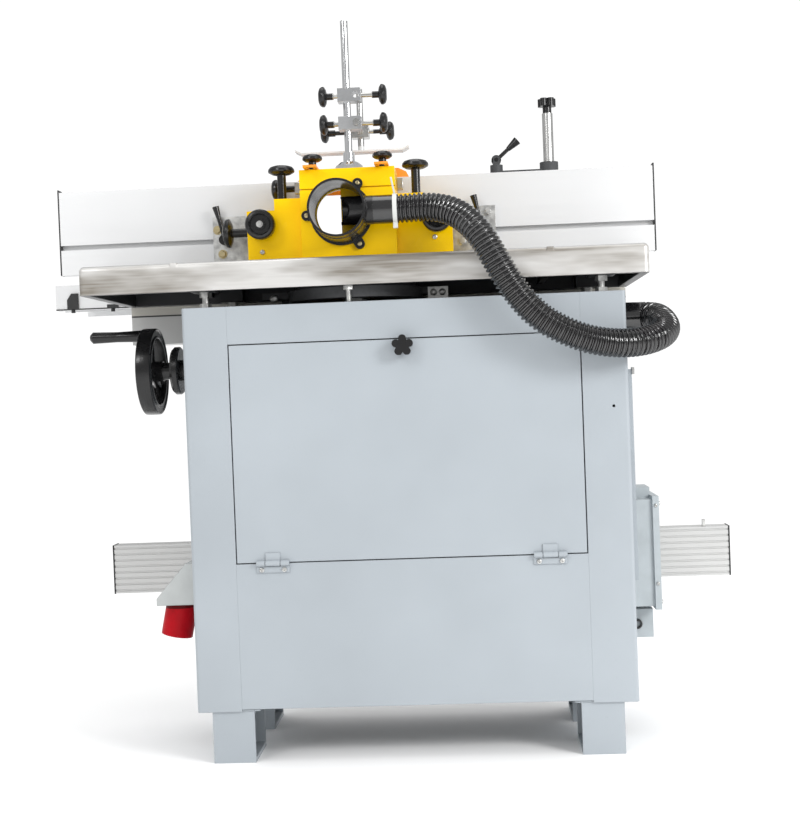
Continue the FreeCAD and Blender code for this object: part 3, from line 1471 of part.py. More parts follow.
def pressing_device():
    """Post with a dome base, two clamps on it, and the arm, bar and shoe they hold."""
    base = cover_top
    post_top = D.dome_height + D.dome_neck_height + D.post_height - D.dome_neck_height
    profile = [
        (0, 0),
        (D.dome_radius, 0),
        (D.dome_radius, D.dome_height / 4),
        (D.dome_radius * 0.87, D.dome_height * 0.62),
        (D.dome_radius * 0.6, D.dome_height * 0.9),
        (D.dome_neck_radius, D.dome_height),
        (D.dome_neck_radius, D.dome_height + D.dome_neck_height),
        (D.post_radius, D.dome_height + D.dome_neck_height),
        (D.post_radius, post_top - 1),
        (D.post_radius - 1, post_top),
        (0, post_top),
    ]
    node("press_post", turned(profile, spindle_x, post_y, base))
    arm_x = spindle_x + D.arm_offset
    left_face = spindle_x - D.clamp_side
    right_face = left_face + D.clamp_width
    for name, height in (("upper", D.upper_clamp_height), ("lower", D.lower_clamp_height)):
        middle = base + height
        block = box(left_face, right_face, post_y - D.clamp_depth / 2, post_y + D.clamp_depth / 2,
                    middle - D.clamp_height / 2, middle + D.clamp_height / 2)
        bores = [
            rod(D.post_radius + D.run_clear, D.clamp_height * 2, spindle_x, post_y, middle - D.clamp_height),
            rod(D.arm_radius + D.run_clear, D.clamp_depth * 2, arm_x, post_y - D.clamp_depth, middle, "Y"),
        ]
        bores += screw_bores(left_face, right_face, post_y, middle)
        node(f"{name}_clamp", cut(block, *bores))
        node(f"{name}_clamp_knobs", clamp_knobs(left_face, right_face, post_y, middle))
    shoe_clamp(arm_x, base + D.lower_clamp_height)


def screw_bores(left_face, right_face, y, z):
    """Blind holes for the two clamp screws."""
    radius = D.clamp_screw_radius + D.run_clear
    return [
        rod(radius, D.clamp_screw_depth, left_face, y, z, "X"),
        rod(radius, D.clamp_screw_depth, right_face, y, z, "-X"),
    ]


def clamp_knobs(left_face, right_face, y, z):
    """A pair of knobs on one line, one on each side of a clamp."""
    screw = D.clamp_screw_depth - D.part_clear
    hub = D.clamp_knob_hub
    head = (D.clamp_knob_radius, D.clamp_knob_height, D.clamp_knob_stem_radius, D.clamp_screw_radius)
    left_gap = D.clamp_knob_left - hub
    right_gap = D.clamp_knob_right - hub
    left = mushroom(left_face - left_gap, y, z, "-X", hub, *head, left_gap + screw)
    right = mushroom(right_face + right_gap, y, z, "X", hub, *head, right_gap + screw)
    return group(left, right)


def shoe_clamp(arm_x, middle):
    """Clamp at the end of the horizontal arm, and the upright bar with its shoe."""
    near = post_y + D.arm_reach
    far = near + D.clamp_depth
    bar_y = (near + far) / 2
    half = D.clamp_side
    block = box(arm_x - half, arm_x + half, near, far, middle - D.clamp_height / 2, middle + D.clamp_height / 2)
    arm = rod(D.arm_radius, D.arm_reach + D.arm_tail + 1, arm_x, post_y - D.arm_tail, middle, "Y")
    hub = D.clamp_knob_hub
    head = (D.clamp_knob_radius - 1, D.clamp_knob_height, D.clamp_knob_stem_radius, D.clamp_screw_radius)
    left_gap = D.shoe_knob_left - hub
    right_gap = D.clamp_knob_right - hub
    left = mushroom(arm_x - half - left_gap, bar_y, middle, "-X", hub, *head, left_gap + 1)
    right = mushroom(arm_x + half + right_gap, bar_y, middle, "X", hub, *head, right_gap + 1)
    bore = rod(D.shoe_bar_radius + D.run_clear, D.clamp_height * 2, arm_x, bar_y, middle - D.clamp_height)
    node("shoe_clamp", cut(fuse(block, arm, left, right), bore))
    shoe_top = middle - D.shoe_drop
    half_length = D.shoe_half_length
    tip = D.shoe_tip_rise
    thick = D.shoe_thickness
    sole = [
        (spindle_x - half_length + tip * 2, shoe_top - thick),
        (spindle_x + half_length - tip * 2, shoe_top - thick),
        (spindle_x + half_length, shoe_top - thick + tip),
        (spindle_x + half_length, shoe_top + tip),
        (spindle_x + half_length - tip * 2, shoe_top),
        (spindle_x - half_length + tip * 2, shoe_top),
        (spindle_x - half_length, shoe_top + tip),
        (spindle_x - half_length, shoe_top - thick + tip),
    ]
    shoe = prism("XZ", sole, bar_y - D.shoe_width / 2, bar_y + D.shoe_width / 2)
    bar = rod(D.shoe_bar_radius, D.shoe_bar_length, arm_x, bar_y, shoe_top - thick / 2)
    node("press_shoe", fuse(shoe, bar))


def sliding_table():
    """Carriage with a top slot, riding on the guide rail's ridge."""
    rear = slide_rear
    front = slide_rear + D.slide_width
    low = table_bottom + D.slide_lift
    under = table_top - D.slide_plate
    ridge_rear = cab_front + D.guide_ridge_offset - D.part_clear
    ridge_front = ridge_rear + D.guide_ridge_width + D.part_clear * 2
    slot = slide_rear + D.slide_slot_offset
    mouth = D.slide_slot_mouth / 2
    head = D.slide_slot_head / 2
    neck = table_top - D.slide_slot_depth
    deep = neck - D.slide_slot_head_depth
    profile = [
        (rear, low),
        (ridge_rear, low),
        (ridge_rear, under),
        (ridge_front, under),
        (ridge_front, low),
        (ridge_front + D.slide_wall, low),
        (ridge_front + D.slide_wall, under),
        (front - D.slide_wall, under),
        (front - D.slide_wall, low),
        (front, low),
        (front, table_top),
        (slot + mouth, table_top),
        (slot + mouth, neck),
        (slot + head, neck),
        (slot + head, deep),
        (slot - head, deep),
        (slot - head, neck),
        (slot - mouth, neck),
        (slot - mouth, table_top),
        (rear, table_top),
    ]
    node("slide_carriage", prism("YZ", profile, D.slide_left_x, D.slide_left_x + D.slide_length))


def rails():
    """Guide rail of the sliding table and the lower support rail, both on the cabinet's front."""
    top = table_bottom
    bottom = top - D.guide_height
    back = cab_front
    front = cab_front + D.guide_width
    ridge = cab_front + D.guide_ridge_offset
    wall_y = D.guide_wall
    outer = [
        (back, bottom),
        (front, bottom),
        (front, bottom + D.guide_height / 3),
        (front - wall_y, bottom + D.guide_height / 3 + wall_y),
        (front - wall_y, top - wall_y * 2),
        (front, top - wall_y),
        (front, top),
        (ridge + D.guide_ridge_width, top),
        (ridge + D.guide_ridge_width, top + D.guide_ridge_height),
        (ridge, top + D.guide_ridge_height),
        (ridge, top),
        (back, top),
    ]
    hollow = box(table_left - wall_y, table_right + wall_y, back + wall_y, front - wall_y * 2,
                 bottom + wall_y, top - wall_y)
    node("guide_rail", cut(prism("YZ", outer, table_left, table_right), hollow))
    low = D.support_bottom
    pitch = D.support_height / DIMS["support_grooves"]
    face = [(cab_front + D.support_depth, low + D.support_height), (cab_front + D.support_depth, low)]
    profile = [(cab_front, low)]
    for groove in range(DIMS["support_grooves"]):
        middle = low + pitch * (groove + 0.5)
        half = D.support_groove_width / 2
        profile += [
            (cab_front, middle - half),
            (cab_front + D.support_groove_depth, middle - half),
            (cab_front + D.support_groove_depth, middle + half),
            (cab_front, middle + half),
        ]
    profile += [(cab_front, low + D.support_height)] + face
    start = D.support_center_x - D.support_length / 2
    end = start + D.support_length
    inset = D.support_wall
    chamber = box(start - inset, end + inset, cab_front + D.support_groove_depth + inset,
                  cab_front + D.support_depth - inset, low + inset, low + D.support_height - inset)
    node("support_rail", cut(prism("YZ", profile, start, end), chamber))


def hold_down():
    """Workpiece clamp that stands in the carriage's slot."""
    x = D.hold_post_x
    y = slide_rear + D.slide_slot_offset
    post = [
        (D.hold_rod_radius + D.part_clear, 0),
        (D.hold_base_radius, 0),
        (D.hold_base_radius, D.hold_base_height),
        (D.hold_post_radius, D.hold_base_height),
        (D.hold_post_radius, D.hold_post_height),
        (D.hold_rod_radius + D.part_clear, D.hold_post_height),
    ]
    node("hold_down_post", turned(post, x, y, table_top))
    knob_z = table_top + D.hold_post_height + D.part_clear
    knob = star_knob(x, y, knob_z, "Z", D.hold_post_height, D.hold_knob_neck)
    nut_rod = rod(D.hold_rod_radius, D.hold_post_height + D.slide_slot_depth, x, y, table_top - D.slide_slot_depth)
    node("hold_down_knob", fuse(knob, nut_rod))
    sleeve_z = table_top + D.hold_arm_height
    tip_x = x - D.hold_arm_reach
    arm_mid = sleeve_z + D.hold_sleeve_length / 2
    half = D.hold_arm_width / 2
    pieces = [
        rod(D.hold_sleeve_radius, D.hold_sleeve_length, x, y, sleeve_z),
        box(tip_x, x, y - half, y + half, arm_mid - D.hold_arm_thickness / 2, arm_mid + D.hold_arm_thickness / 2),
        rod(D.hold_pad_radius, D.hold_pad_length, tip_x, y, arm_mid - D.hold_pad_length / 2),
    ]
    fork = arm_mid + D.hold_pad_length / 2
    pivot_z = fork + D.hold_lever_hub + D.part_clear
    ear = D.hold_arm_thickness / 2
    for side in (-1, 1):
        first = y + ear * side
        second = y + (ear + D.hold_lever_radius) * side
        pieces.append(box(tip_x - D.hold_lever_hub * 0.7, tip_x + D.hold_lever_hub * 0.7, first, second,
                          arm_mid, pivot_z + D.hold_lever_hub * 0.7))
    pin = D.hold_lever_radius
    bores = [
        rod(D.hold_post_radius + D.run_clear, D.hold_sleeve_length * 2, x, y, sleeve_z - D.hold_sleeve_length / 2),
        rod(pin + D.run_clear, D.hold_arm_width * 3, tip_x, y - D.hold_arm_width * 1.5, pivot_z, "Y"),
    ]
    node("hold_down_arm", cut(fuse(*pieces), *bores))
    hub_half = ear - D.part_clear
    hub = rod(D.hold_lever_hub, hub_half * 2, tip_x, y - hub_half, pivot_z, "Y")
    pivot = rod(pin, D.hold_arm_width + 2, tip_x, y - half - 1, pivot_z, "Y")
    turn = FreeCAD.Rotation(V(0, 1, 0), DIMS["hold_lever_angle"])
    swing = math.radians(DIMS["hold_lever_angle"])
    arm = doc.addObject("Part::Cylinder", "HoldLever")
    bind(arm, "Radius", D.hold_lever_radius)
    bind(arm, "Height", D.hold_lever_length)
    place(arm, tip_x, y, pivot_z, turn)
    grip = doc.addObject("Part::Cone", "HoldGrip")
    bind(grip, "Radius1", D.hold_lever_radius + 1)
    bind(grip, "Radius2", D.hold_grip_radius)
    bind(grip, "Height", D.hold_grip_length)
    reach = D.hold_lever_length - 1
    place(grip, tip_x + reach * math.sin(swing), y, pivot_z + reach * math.cos(swing), turn)
    node("hold_down_lever", fuse(hub, pivot, arm, grip))


def electrical_box():
    """Box with a lid on the right wall, its gland box below, and the switch on its far face."""
    start = cab_right
    low = D.box_bottom
    high = low + D.box_height
    near = cab_rear + D.box_setback
    far = near + D.box_depth
    shell = box(start, start + D.box_reach, near, far, low, high)
    inset = D.box_wall
    hollow = box(start + inset, start + D.box_reach + inset, near + inset, far - inset, low + inset, high - inset)
    upper = box(start, start + D.gland_reach, near + D.box_depth / 4, far - D.box_depth / 4, high,
                high + D.upper_box_height)
    margin = D.lid_margin
    lid = box(start + D.box_reach, start + D.box_reach + D.lid_reach, near - margin, far + margin, low - margin,
              high + margin)
    gland_top = low - D.gland_gap
    gland_near = near + (D.box_depth - D.gland_depth) / 2
    gland = box(start, start + D.gland_reach, gland_near, gland_near + D.gland_depth, gland_top - D.gland_height,
                gland_top)
    conduit = rod(D.lid_reach, D.gland_gap, start + D.gland_reach / 2, gland_near + D.gland_depth / 2, gland_top)
    switch_x = start + D.box_reach / 2
    switch_z = high - D.switch_drop
    stem = D.hood_bolt_radius
    stem_bore = rod(stem + D.run_clear, D.box_wall * 2, switch_x, far - D.box_wall * 2, switch_z, "Y")
    body = fuse(cut(shell, hollow), upper, conduit, gland)
    node("electrical_box", group(cut(body, stem_bore), lid))
    dial = rod(D.switch_radius, D.switch_height / 2, switch_x, far + D.part_clear, switch_z, "Y")
    grip = box(switch_x - D.switch_grip / 2, switch_x + D.switch_grip / 2, far + D.part_clear,
               far + D.switch_height, switch_z - D.switch_radius, switch_z + D.switch_radius)
    spindle = rod(stem, D.box_wall + D.part_clear, switch_x, far - D.box_wall, switch_z, "Y")
    node("switch_knob", fuse(dial, grip, spindle))


def power_inlet():
    """Wedge-shaped inlet housing on the left wall with its round shroud pointing down."""
    near = cab_rear + D.inlet_setback
    wedge = [
        (cab_left, D.inlet_bottom),
        (cab_left - D.inlet_reach, D.inlet_bottom),
        (cab_left - D.inlet_reach, D.inlet_bottom + D.inlet_brow / 2),
        (cab_left - D.inlet_brow, D.inlet_top),
        (cab_left, D.inlet_top),
    ]
    housing = prism("XZ", wedge, near, near + D.inlet_width)
    middle_x = cab_left - D.inlet_reach / 2
    middle_y = near + D.inlet_width / 2
    tilt = FreeCAD.Rotation(V(0, 1, 0), 180 + DIMS["shroud_tilt"])
    tube = doc.addObject("Part::Cylinder", "Shroud")
    bore = doc.addObject("Part::Cylinder", "ShroudBore")
    bind(tube, "Radius", D.shroud_radius)
    bind(bore, "Radius", D.shroud_radius - D.shroud_wall)
    for piece in (tube, bore):
        bind(piece, "Height", D.shroud_length + D.inlet_brow)
    rise = D.inlet_brow / 2
    place(tube, middle_x, middle_y, D.inlet_bottom + rise, tilt)
    place(bore, middle_x, middle_y, D.inlet_bottom - D.shroud_wall, tilt)
    node("power_inlet", group(housing, cut(tube, bore, housing)))


HOSE_ROUTE = [
    (8, -273, 967),
    (33, -273, 967),
    (62, -273, 967),
    (108, -277, 968),
    (150, -290, 960),
    (188, -312, 925),
    (215, -319, 885),
    (242, -321, 845),
    (279, -322, 805),
    (329, -323, 787),
    (388, -318, 768),
    (459, -297, 745),
    (515, -244, 745),
    (510, -185, 764),
    (490, -149, 770),
    (464, -149, 770),
    (438, -149, 770),
]


def dust_hose():
    """Ribbed hose from the collar's branch to the cabinet wall, with its bore."""
    poles = [V(*point) for point in HOSE_ROUTE]
    spans = len(poles) - 2
    curve = Part.BSplineCurve()
    curve.buildFromPolesMultsKnots(poles, [3] + [1] * (spans - 1) + [3], [k / spans for k in range(spans + 1)],
                                   False, 2)
    length = curve.length()
    radius = D.hose_radius.value
    ribs = DIMS["hose_ribs"]
    cuff = 2 * radius
    pitch = (length - 2 * cuff) / ribs
    stations = [(0, radius), (cuff, radius)]
    for rib in range(ribs):
        start = cuff + pitch * rib
        for share, size in ((0.25, D.hose_valley), (0.5, D.hose_radius), (0.8, D.hose_radius)):
            stations.append((start + pitch * share, size.value))
    stations += [(length - cuff, radius), (length, radius)]
    outer = []
    inner = []
    across = V(0, 1, 0)
    for distance, size in stations:
        at = curve.parameterAtDistance(distance, curve.FirstParameter)
        center = curve.value(at)
        along = curve.tangent(at)[0]
        across = (across - along * across.dot(along)).normalize()
        for rings, ring_radius in ((outer, size), (inner, D.hose_bore.value)):
            circle = Part.Circle()
            circle.Center = center
            circle.Axis = along
            circle.XAxis = across
            circle.Radius = ring_radius
            rings.append(Part.Wire(circle.toShape()))
    inner = [inner[i] for i in range(len(inner)) if i < 2 or i % 4 == 0 or i > len(inner) - 3]
    tube = doc.addObject("Part::Feature", "Hose")
    tube.Shape = Part.makeLoft(outer, True, True).cut(Part.makeLoft(inner, True, True))
    print(f"hose length {length:.1f} mm, volume {tube.Shape.Volume:.0f}, ribs {ribs}")
    node("dust_hose", tube)


side_panels()
cabinet_panels()
feet()
rear_door()
door_hinges()
table()
table_rings()
table_studs()
spindle_bracket()
lift_carriage()
spindle_parts()
drive_belt()
motor()
lift_screw()
handwheel()
hood()
dust_collar()
hood_knobs()
front_guard()
fences()
pressing_device()
sliding_table()
rails()
hold_down()
electrical_box()
power_inlet()
dust_hose()

doc.recompute()
failed = [obj.Name for obj in doc.Objects if {"Invalid", "Error"} & set(obj.State)]
failed += [name for name, obj in NODES.items() if obj.Shape.isNull() or not obj.Shape.isValid()]
if failed:
    raise RuntimeError(f"failed objects: {failed}")
os.makedirs("parts", exist_ok=True)
for name, obj in NODES.items():
    obj.Shape.exportStep(f"parts/{name}.step")
print(f"{len(NODES)} parts")
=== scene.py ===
import json
import math

import bmesh
import bpy
from bpy.props import FloatProperty, FloatVectorProperty, IntProperty, PointerProperty
from mathutils import Matrix, Vector


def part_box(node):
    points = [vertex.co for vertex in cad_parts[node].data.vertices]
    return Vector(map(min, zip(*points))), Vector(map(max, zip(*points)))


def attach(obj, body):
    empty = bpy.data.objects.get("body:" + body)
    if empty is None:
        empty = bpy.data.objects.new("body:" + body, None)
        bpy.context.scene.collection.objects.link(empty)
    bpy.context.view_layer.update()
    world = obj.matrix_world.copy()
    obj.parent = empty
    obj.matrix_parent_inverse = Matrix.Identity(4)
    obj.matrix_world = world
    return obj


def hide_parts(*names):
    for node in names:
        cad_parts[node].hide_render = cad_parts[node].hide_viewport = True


bl_info = {
    "name": "Spindle Moulder",
    "version": (1, 0, 0),
    "blender": (4, 5, 0),
    "location": "View3D > Sidebar > Moulder",
    "description": "Dresses a spindle moulder's CAD frame with finishes, hose and small fittings",
    "category": "Object",
}

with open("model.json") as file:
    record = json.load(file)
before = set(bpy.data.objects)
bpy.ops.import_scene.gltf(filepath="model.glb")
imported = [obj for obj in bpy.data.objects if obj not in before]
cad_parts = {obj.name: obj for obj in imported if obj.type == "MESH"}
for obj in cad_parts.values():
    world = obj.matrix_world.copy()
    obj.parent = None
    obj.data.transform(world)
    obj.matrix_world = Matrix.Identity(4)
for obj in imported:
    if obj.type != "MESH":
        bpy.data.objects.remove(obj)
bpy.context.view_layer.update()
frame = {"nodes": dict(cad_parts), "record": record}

SIDES = ("left", "right")
UP = Vector((0, 0, 1))
REARWARD = (0, -1, 0)
RIGHTWARD = (1, 0, 0)
DOWNWARD = (0, 0, -1)

# Noise mostly lies between these levels, so a blend runs from one to the other.
NOISE_LOW = 0.3
NOISE_HIGH = 0.7

# Edges sharper than this stay sharp when a piece is shaded smooth.
CREASE_ANGLE = math.radians(32)

# Faces that fittings sit on, in metres.
HOOD_WING_Y = -0.213
CARRIER_FACE_Y = -0.1223
ADJUSTER_FACE_Y = -0.2429
COLLAR_EAR_Y = -0.235
HINGE_LEAF_Y = -0.2645
BRACKET_FACE_Y = -0.146

# Places of fittings on those faces, as X and Z in metres.
PORT_MIDDLE = (-0.052, 0.967)
HINGE_MIDDLES_X = (-0.194, 0.294)
HINGE_SCREWS_Z = 0.3432
HOOD_SCREWS = ((0.112, 0.922), (-0.198, 0.908), (0.060, 0.985))
CARRIER_BOLTS = {
    "left": ((-0.286, 0.917), (-0.294, 0.962)),
    "right": ((0.160, 0.922), (0.210, 0.974)),
}
ADJUSTER_MIDDLES = {"left": (-0.197, 0.955), "right": (0.117, 0.955)}
BRACKET_SCREW = (-0.190, 0.828)
PLATE_SCREWS = ((0.1045, 0.828), (0.1205, 0.828))

# The handwheel's axis runs along X. Its hub and rim start at these places along it.
WHEEL_AXIS_Y = -0.094
WHEEL_AXIS_Z = 0.704
WHEEL_HUB_X = -0.4128
WHEEL_RIM_X = -0.4483

# Places where a finish changes, in metres: heights, and the middles and reaches of bare studs.
SHROUD_TOP_Z = 0.2738
RAIL_SEAM_Z = 0.822
SHOE_SOLE_TOP_Z = 1.1116
CLAMP_KNOBS_X = -0.029
CLAMP_STUD_REACH = 0.036
SHOE_CLAMP_X = -0.023
SHOE_STUD_REACH = 0.024

# The hose's route in metres: from the collar's branch round to the cabinet's right wall.
HOSE_ROUTE = [
    (0.008, -0.273, 0.967),
    (0.033, -0.273, 0.967),
    (0.062, -0.273, 0.967),
    (0.108, -0.277, 0.968),
    (0.150, -0.290, 0.957),
    (0.188, -0.312, 0.921),
    (0.215, -0.319, 0.870),
    (0.242, -0.321, 0.820),
    (0.279, -0.322, 0.772),
    (0.329, -0.323, 0.740),
    (0.388, -0.318, 0.719),
    (0.459, -0.297, 0.716),
    (0.515, -0.244, 0.735),
    (0.510, -0.185, 0.764),
    (0.490, -0.149, 0.770),
    (0.464, -0.149, 0.770),
    (0.438, -0.149, 0.770),
]


class MoulderColours(bpy.types.PropertyGroup):
    """Colours of the machine's finishes"""

    cabinet: FloatVectorProperty(name="Cabinet paint", description="Sheet metal paint", subtype="COLOR",
                                 default=(0.355, 0.39, 0.42), min=0, max=1)
    hood: FloatVectorProperty(name="Hood paint", description="Dust hood paint", subtype="COLOR",
                              default=(1.0, 0.61, 0.0), min=0, max=1)
    guard: FloatVectorProperty(name="Guard", description="Front guard", subtype="COLOR",
                               default=(0.95, 0.30, 0.02), min=0, max=1)
    shroud: FloatVectorProperty(name="Plug shroud", description="Shroud of the power inlet", subtype="COLOR",
                                default=(0.4, 0.002, 0.008), min=0, max=1)
    moulding: FloatVectorProperty(name="Black mouldings", description="Knobs, collar, hose", subtype="COLOR",
                                  default=(0.008, 0.008, 0.0085), min=0, max=1)
    aluminium: FloatVectorProperty(name="Aluminium", description="Fence plates and rails", subtype="COLOR",
                                   default=(0.735, 0.74, 0.745), min=0, max=1)


class MoulderSizes(bpy.types.PropertyGroup):
    """Sizes of the fittings that the scene adds"""

    hose_radius: FloatProperty(name="Hose radius", description="Outside of the hose's ribs", default=0.025,
                               min=0.005, max=0.05, unit="LENGTH")
    hose_valley: FloatProperty(name="Hose valley", description="Radius between two ribs", default=0.0215,
                               min=0.005, max=0.05, unit="LENGTH")
    hose_ribs: IntProperty(name="Hose ribs", description="Ribs along the hose", default=90, min=8, max=200)
    screw_head: FloatProperty(name="Screw head", description="Radius of a small screw's head", default=0.0046,
                              min=0.001, max=0.02, unit="LENGTH")


# Finishes


class Finish:
    """A material whose nodes are laid one after another."""

    def __init__(self, name, colour, metallic=0.0, roughness=0.5):
        self.material = bpy.data.materials.new(name)
        self.material.use_nodes = True
        self.tree = self.material.node_tree
        self.shader = self.tree.nodes["Principled BSDF"]
        self.shader.inputs["Base Color"].default_value = (*colour, 1)
        self.shader.inputs["Metallic"].default_value = metallic
        self.shader.inputs["Roughness"].default_value = roughness
        self.place = self.tree.nodes.new("ShaderNodeTexCoord")
        self.normal = None

    def soften(self, radius):
        """Edges that catch the light as if slightly rounded."""
        bevel = self.tree.nodes.new("ShaderNodeBevel")
        bevel.samples = 4
        bevel.inputs["Radius"].default_value = radius
        self.link(bevel.outputs["Normal"], self.shader.inputs["Normal"])
        self.normal = bevel.outputs["Normal"]
        return self

    def link(self, source, target):
        self.tree.links.new(source, target)

    def noise(self, scale, stretch=(1, 1, 1), detail=4.0, roughness=0.55):
        """Noise on the piece's own coordinates, stretched along an axis."""
        mapping = self.tree.nodes.new("ShaderNodeMapping")
        mapping.inputs["Scale"].default_value = stretch
        texture = self.tree.nodes.new("ShaderNodeTexNoise")
        texture.inputs["Scale"].default_value = scale
        texture.inputs["Detail"].default_value = detail
        texture.inputs["Roughness"].default_value = roughness
        self.link(self.place.outputs["Object"], mapping.inputs["Vector"])
        self.link(mapping.outputs["Vector"], texture.inputs["Vector"])
        return texture.outputs["Fac"]

    def ramp(self, factor, low_colour, high_colour, low=NOISE_LOW, high=NOISE_HIGH):
        """Blend of two colours between two levels of a factor."""
        ramp = self.tree.nodes.new("ShaderNodeValToRGB")
        ramp.color_ramp.elements[0].position = low
        ramp.color_ramp.elements[1].position = high
        ramp.color_ramp.elements[0].color = (*low_colour, 1)
        ramp.color_ramp.elements[1].color = (*high_colour, 1)
        self.link(factor, ramp.inputs["Fac"])
        return ramp.outputs["Color"]

    def mix(self, factor, first, second):
        """One colour laid over another where the factor is high."""
        mixer = self.tree.nodes.new("ShaderNodeMix")
        mixer.data_type = "RGBA"
        self.link(factor, mixer.inputs["Factor"])
        for socket, colour in ((mixer.inputs["A"], first), (mixer.inputs["B"], second)):
            if isinstance(colour, tuple):
                socket.default_value = (*colour, 1)
            else:
                self.link(colour, socket)
        return mixer.outputs["Result"]

    def colour(self, socket):
        self.link(socket, self.shader.inputs["Base Color"])
        return self

    def rough(self, factor, smooth, coarse, low=NOISE_LOW, high=NOISE_HIGH):
        """Roughness that follows a factor."""
        spread = self.tree.nodes.new("ShaderNodeMapRange")
        for name, amount in (("From Min", low), ("From Max", high), ("To Min", smooth), ("To Max", coarse)):
            spread.inputs[name].default_value = amount
        self.link(factor, spread.inputs["Value"])
        self.link(spread.outputs["Result"], self.shader.inputs["Roughness"])
        return self

    def relief(self, factor, strength, depth):
        """Bump from a factor, over any bump laid before."""
        bump = self.tree.nodes.new("ShaderNodeBump")
        bump.inputs["Strength"].default_value = strength
        bump.inputs["Distance"].default_value = depth
        self.link(factor, bump.inputs["Height"])
        if self.normal:
            self.link(self.normal, bump.inputs["Normal"])
        self.link(bump.outputs["Normal"], self.shader.inputs["Normal"])
        self.normal = bump.outputs["Normal"]
        return self

    def level(self, axis, low, high):
        """Factor that rises from 0 to 1 along an axis between two places."""
        split = self.tree.nodes.new("ShaderNodeSeparateXYZ")
        spread = self.tree.nodes.new("ShaderNodeMapRange")
        spread.inputs["From Min"].default_value = low
        spread.inputs["From Max"].default_value = high
        self.link(self.place.outputs["Object"], split.inputs["Vector"])
        self.link(split.outputs[axis], spread.inputs["Value"])
        return spread.outputs["Result"]

    def least(self, *factors):
        """The lowest of some factors."""
        lowest = factors[0]
        for factor in factors[1:]:
            lower = self.tree.nodes.new("ShaderNodeMath")
            lower.operation = "MINIMUM"
            self.link(lowest, lower.inputs[0])
            self.link(factor, lower.inputs[1])
            lowest = lower.outputs["Value"]
        return lowest

    def within(self, axis, low, high):
        """Factor that is 1 between two places along an axis and 0 beyond them."""
        blur = 0.0002
        return self.least(self.level(axis, low - blur, low), self.level(axis, high + blur, high))

    def facing(self, axis, low, high):
        """Factor that rises with how far a surface faces along an axis."""
        geometry = self.tree.nodes.new("ShaderNodeNewGeometry")
        split = self.tree.nodes.new("ShaderNodeSeparateXYZ")
        spread = self.tree.nodes.new("ShaderNodeMapRange")
        spread.inputs["From Min"].default_value = low
        spread.inputs["From Max"].default_value = high
        self.link(geometry.outputs["True Normal"], split.inputs["Vector"])
        self.link(split.outputs[axis], spread.inputs["Value"])
        return spread.outputs["Result"]


def shade(colour, factor):
    """A colour made lighter or darker."""
    return tuple(min(1.0, channel * factor) for channel in colour)


def painted_sheet(name, colour):
    """Smooth sheet paint with faint clouds, orange peel and rubbed patches."""
    finish = Finish(name, colour, roughness=0.42).soften(radius=0.0016)
    clouds = finish.noise(3.2, detail=3)
    specks = finish.noise(160, detail=2)
    tone = finish.ramp(clouds, shade(colour, 0.93), shade(colour, 1.05))
    dust = finish.ramp(specks, (0, 0, 0), (0.35, 0.35, 0.35), low=0.66, high=0.74)
    finish.colour(finish.mix(dust, tone, shade(colour, 0.9)))
    finish.rough(clouds, smooth=0.36, coarse=0.5)
    return finish.relief(finish.noise(520, detail=2), strength=0.08, depth=0.0006).material


def gloss_paint(name, colour):
    """Thick glossy powder coat with orange peel."""
    finish = Finish(name, colour, roughness=0.22).soften(radius=0.0012)
    finish.shader.inputs["Specular IOR Level"].default_value = 0.13
    finish.shader.inputs["Coat Weight"].default_value = 0.08
    finish.shader.inputs["Coat Roughness"].default_value = 0.06
    clouds = finish.noise(14, detail=3)
    finish.colour(finish.ramp(clouds, shade(colour, 0.9), shade(colour, 1.04), high=0.75))
    finish.rough(clouds, smooth=0.18, coarse=0.3)
    return finish.relief(finish.noise(240, detail=2), strength=0.1, depth=0.0008).material


def machined_table(name):
    """Ground cast iron: broad warm smears over milling lines, lighter streaks as a painted sheen, and painted
    shade in the ribbed underside and on faces that look down.
    """
    finish = Finish(name, (0.5, 0.49, 0.47), metallic=0.55, roughness=0.4).soften(radius=0.003)
    smears = finish.noise(4.2, stretch=(1, 2.2, 5), detail=3)
    streaks = finish.noise(30, stretch=(0.3, 4, 7), detail=4)
    fine = finish.noise(230, stretch=(0.12, 3, 6), detail=3)
    metal = finish.ramp(smears, (0.27, 0.245, 0.21), (0.72, 0.71, 0.69), low=0.36, high=0.62)
    # Painted sheen: lighter streaks mixed into the metal stand in for the shine of the ground face.
    gloss = finish.ramp(streaks, (0, 0, 0), (0.5, 0.5, 0.5), low=0.42, high=0.72)
    metal = finish.mix(gloss, metal, (0.62, 0.61, 0.59))
    ground = finish.ramp(streaks, (0.36, 0.36, 0.355), (0.5, 0.5, 0.49))
    metal = finish.mix(finish.facing("Z", low=0.6, high=0.9), metal, ground)
    low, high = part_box("table")
    rim, plate, blur = 0.004, 0.0105, 0.0005
    inside_x = finish.within("X", low[0] + rim, high[0] - rim)
    inside_y = finish.within("Y", low[1] + rim, high[1] - rim)
    below_plate = finish.level("Z", high[2] - plate, high[2] - plate - blur)
    # Painted shade: the cavity inside the rim and under the top plate is made near black.
    inner = finish.least(inside_x, inside_y, below_plate)
    metal = finish.mix(inner, metal, (0.035, 0.036, 0.038))
    # Painted shade: faces that look down are made near black.
    below = finish.facing("Z", low=-0.7, high=-0.95)
    finish.colour(finish.mix(below, metal, (0.05, 0.052, 0.055)))
    finish.rough(fine, smooth=0.28, coarse=0.5)
    return finish.relief(fine, strength=0.1, depth=0.0005).material


def casting(name, colour):
    """Sand-cast surface under grey primer."""
    finish = Finish(name, colour, metallic=0.1, roughness=0.62).soften(radius=0.0016)
    grain = finish.noise(150, detail=5)
    lumps = finish.noise(22, detail=3)
    finish.colour(finish.ramp(lumps, shade(colour, 0.8), shade(colour, 1.15)))
    finish.rough(grain, smooth=0.52, coarse=0.74)
    return finish.relief(grain, strength=0.35, depth=0.001).material


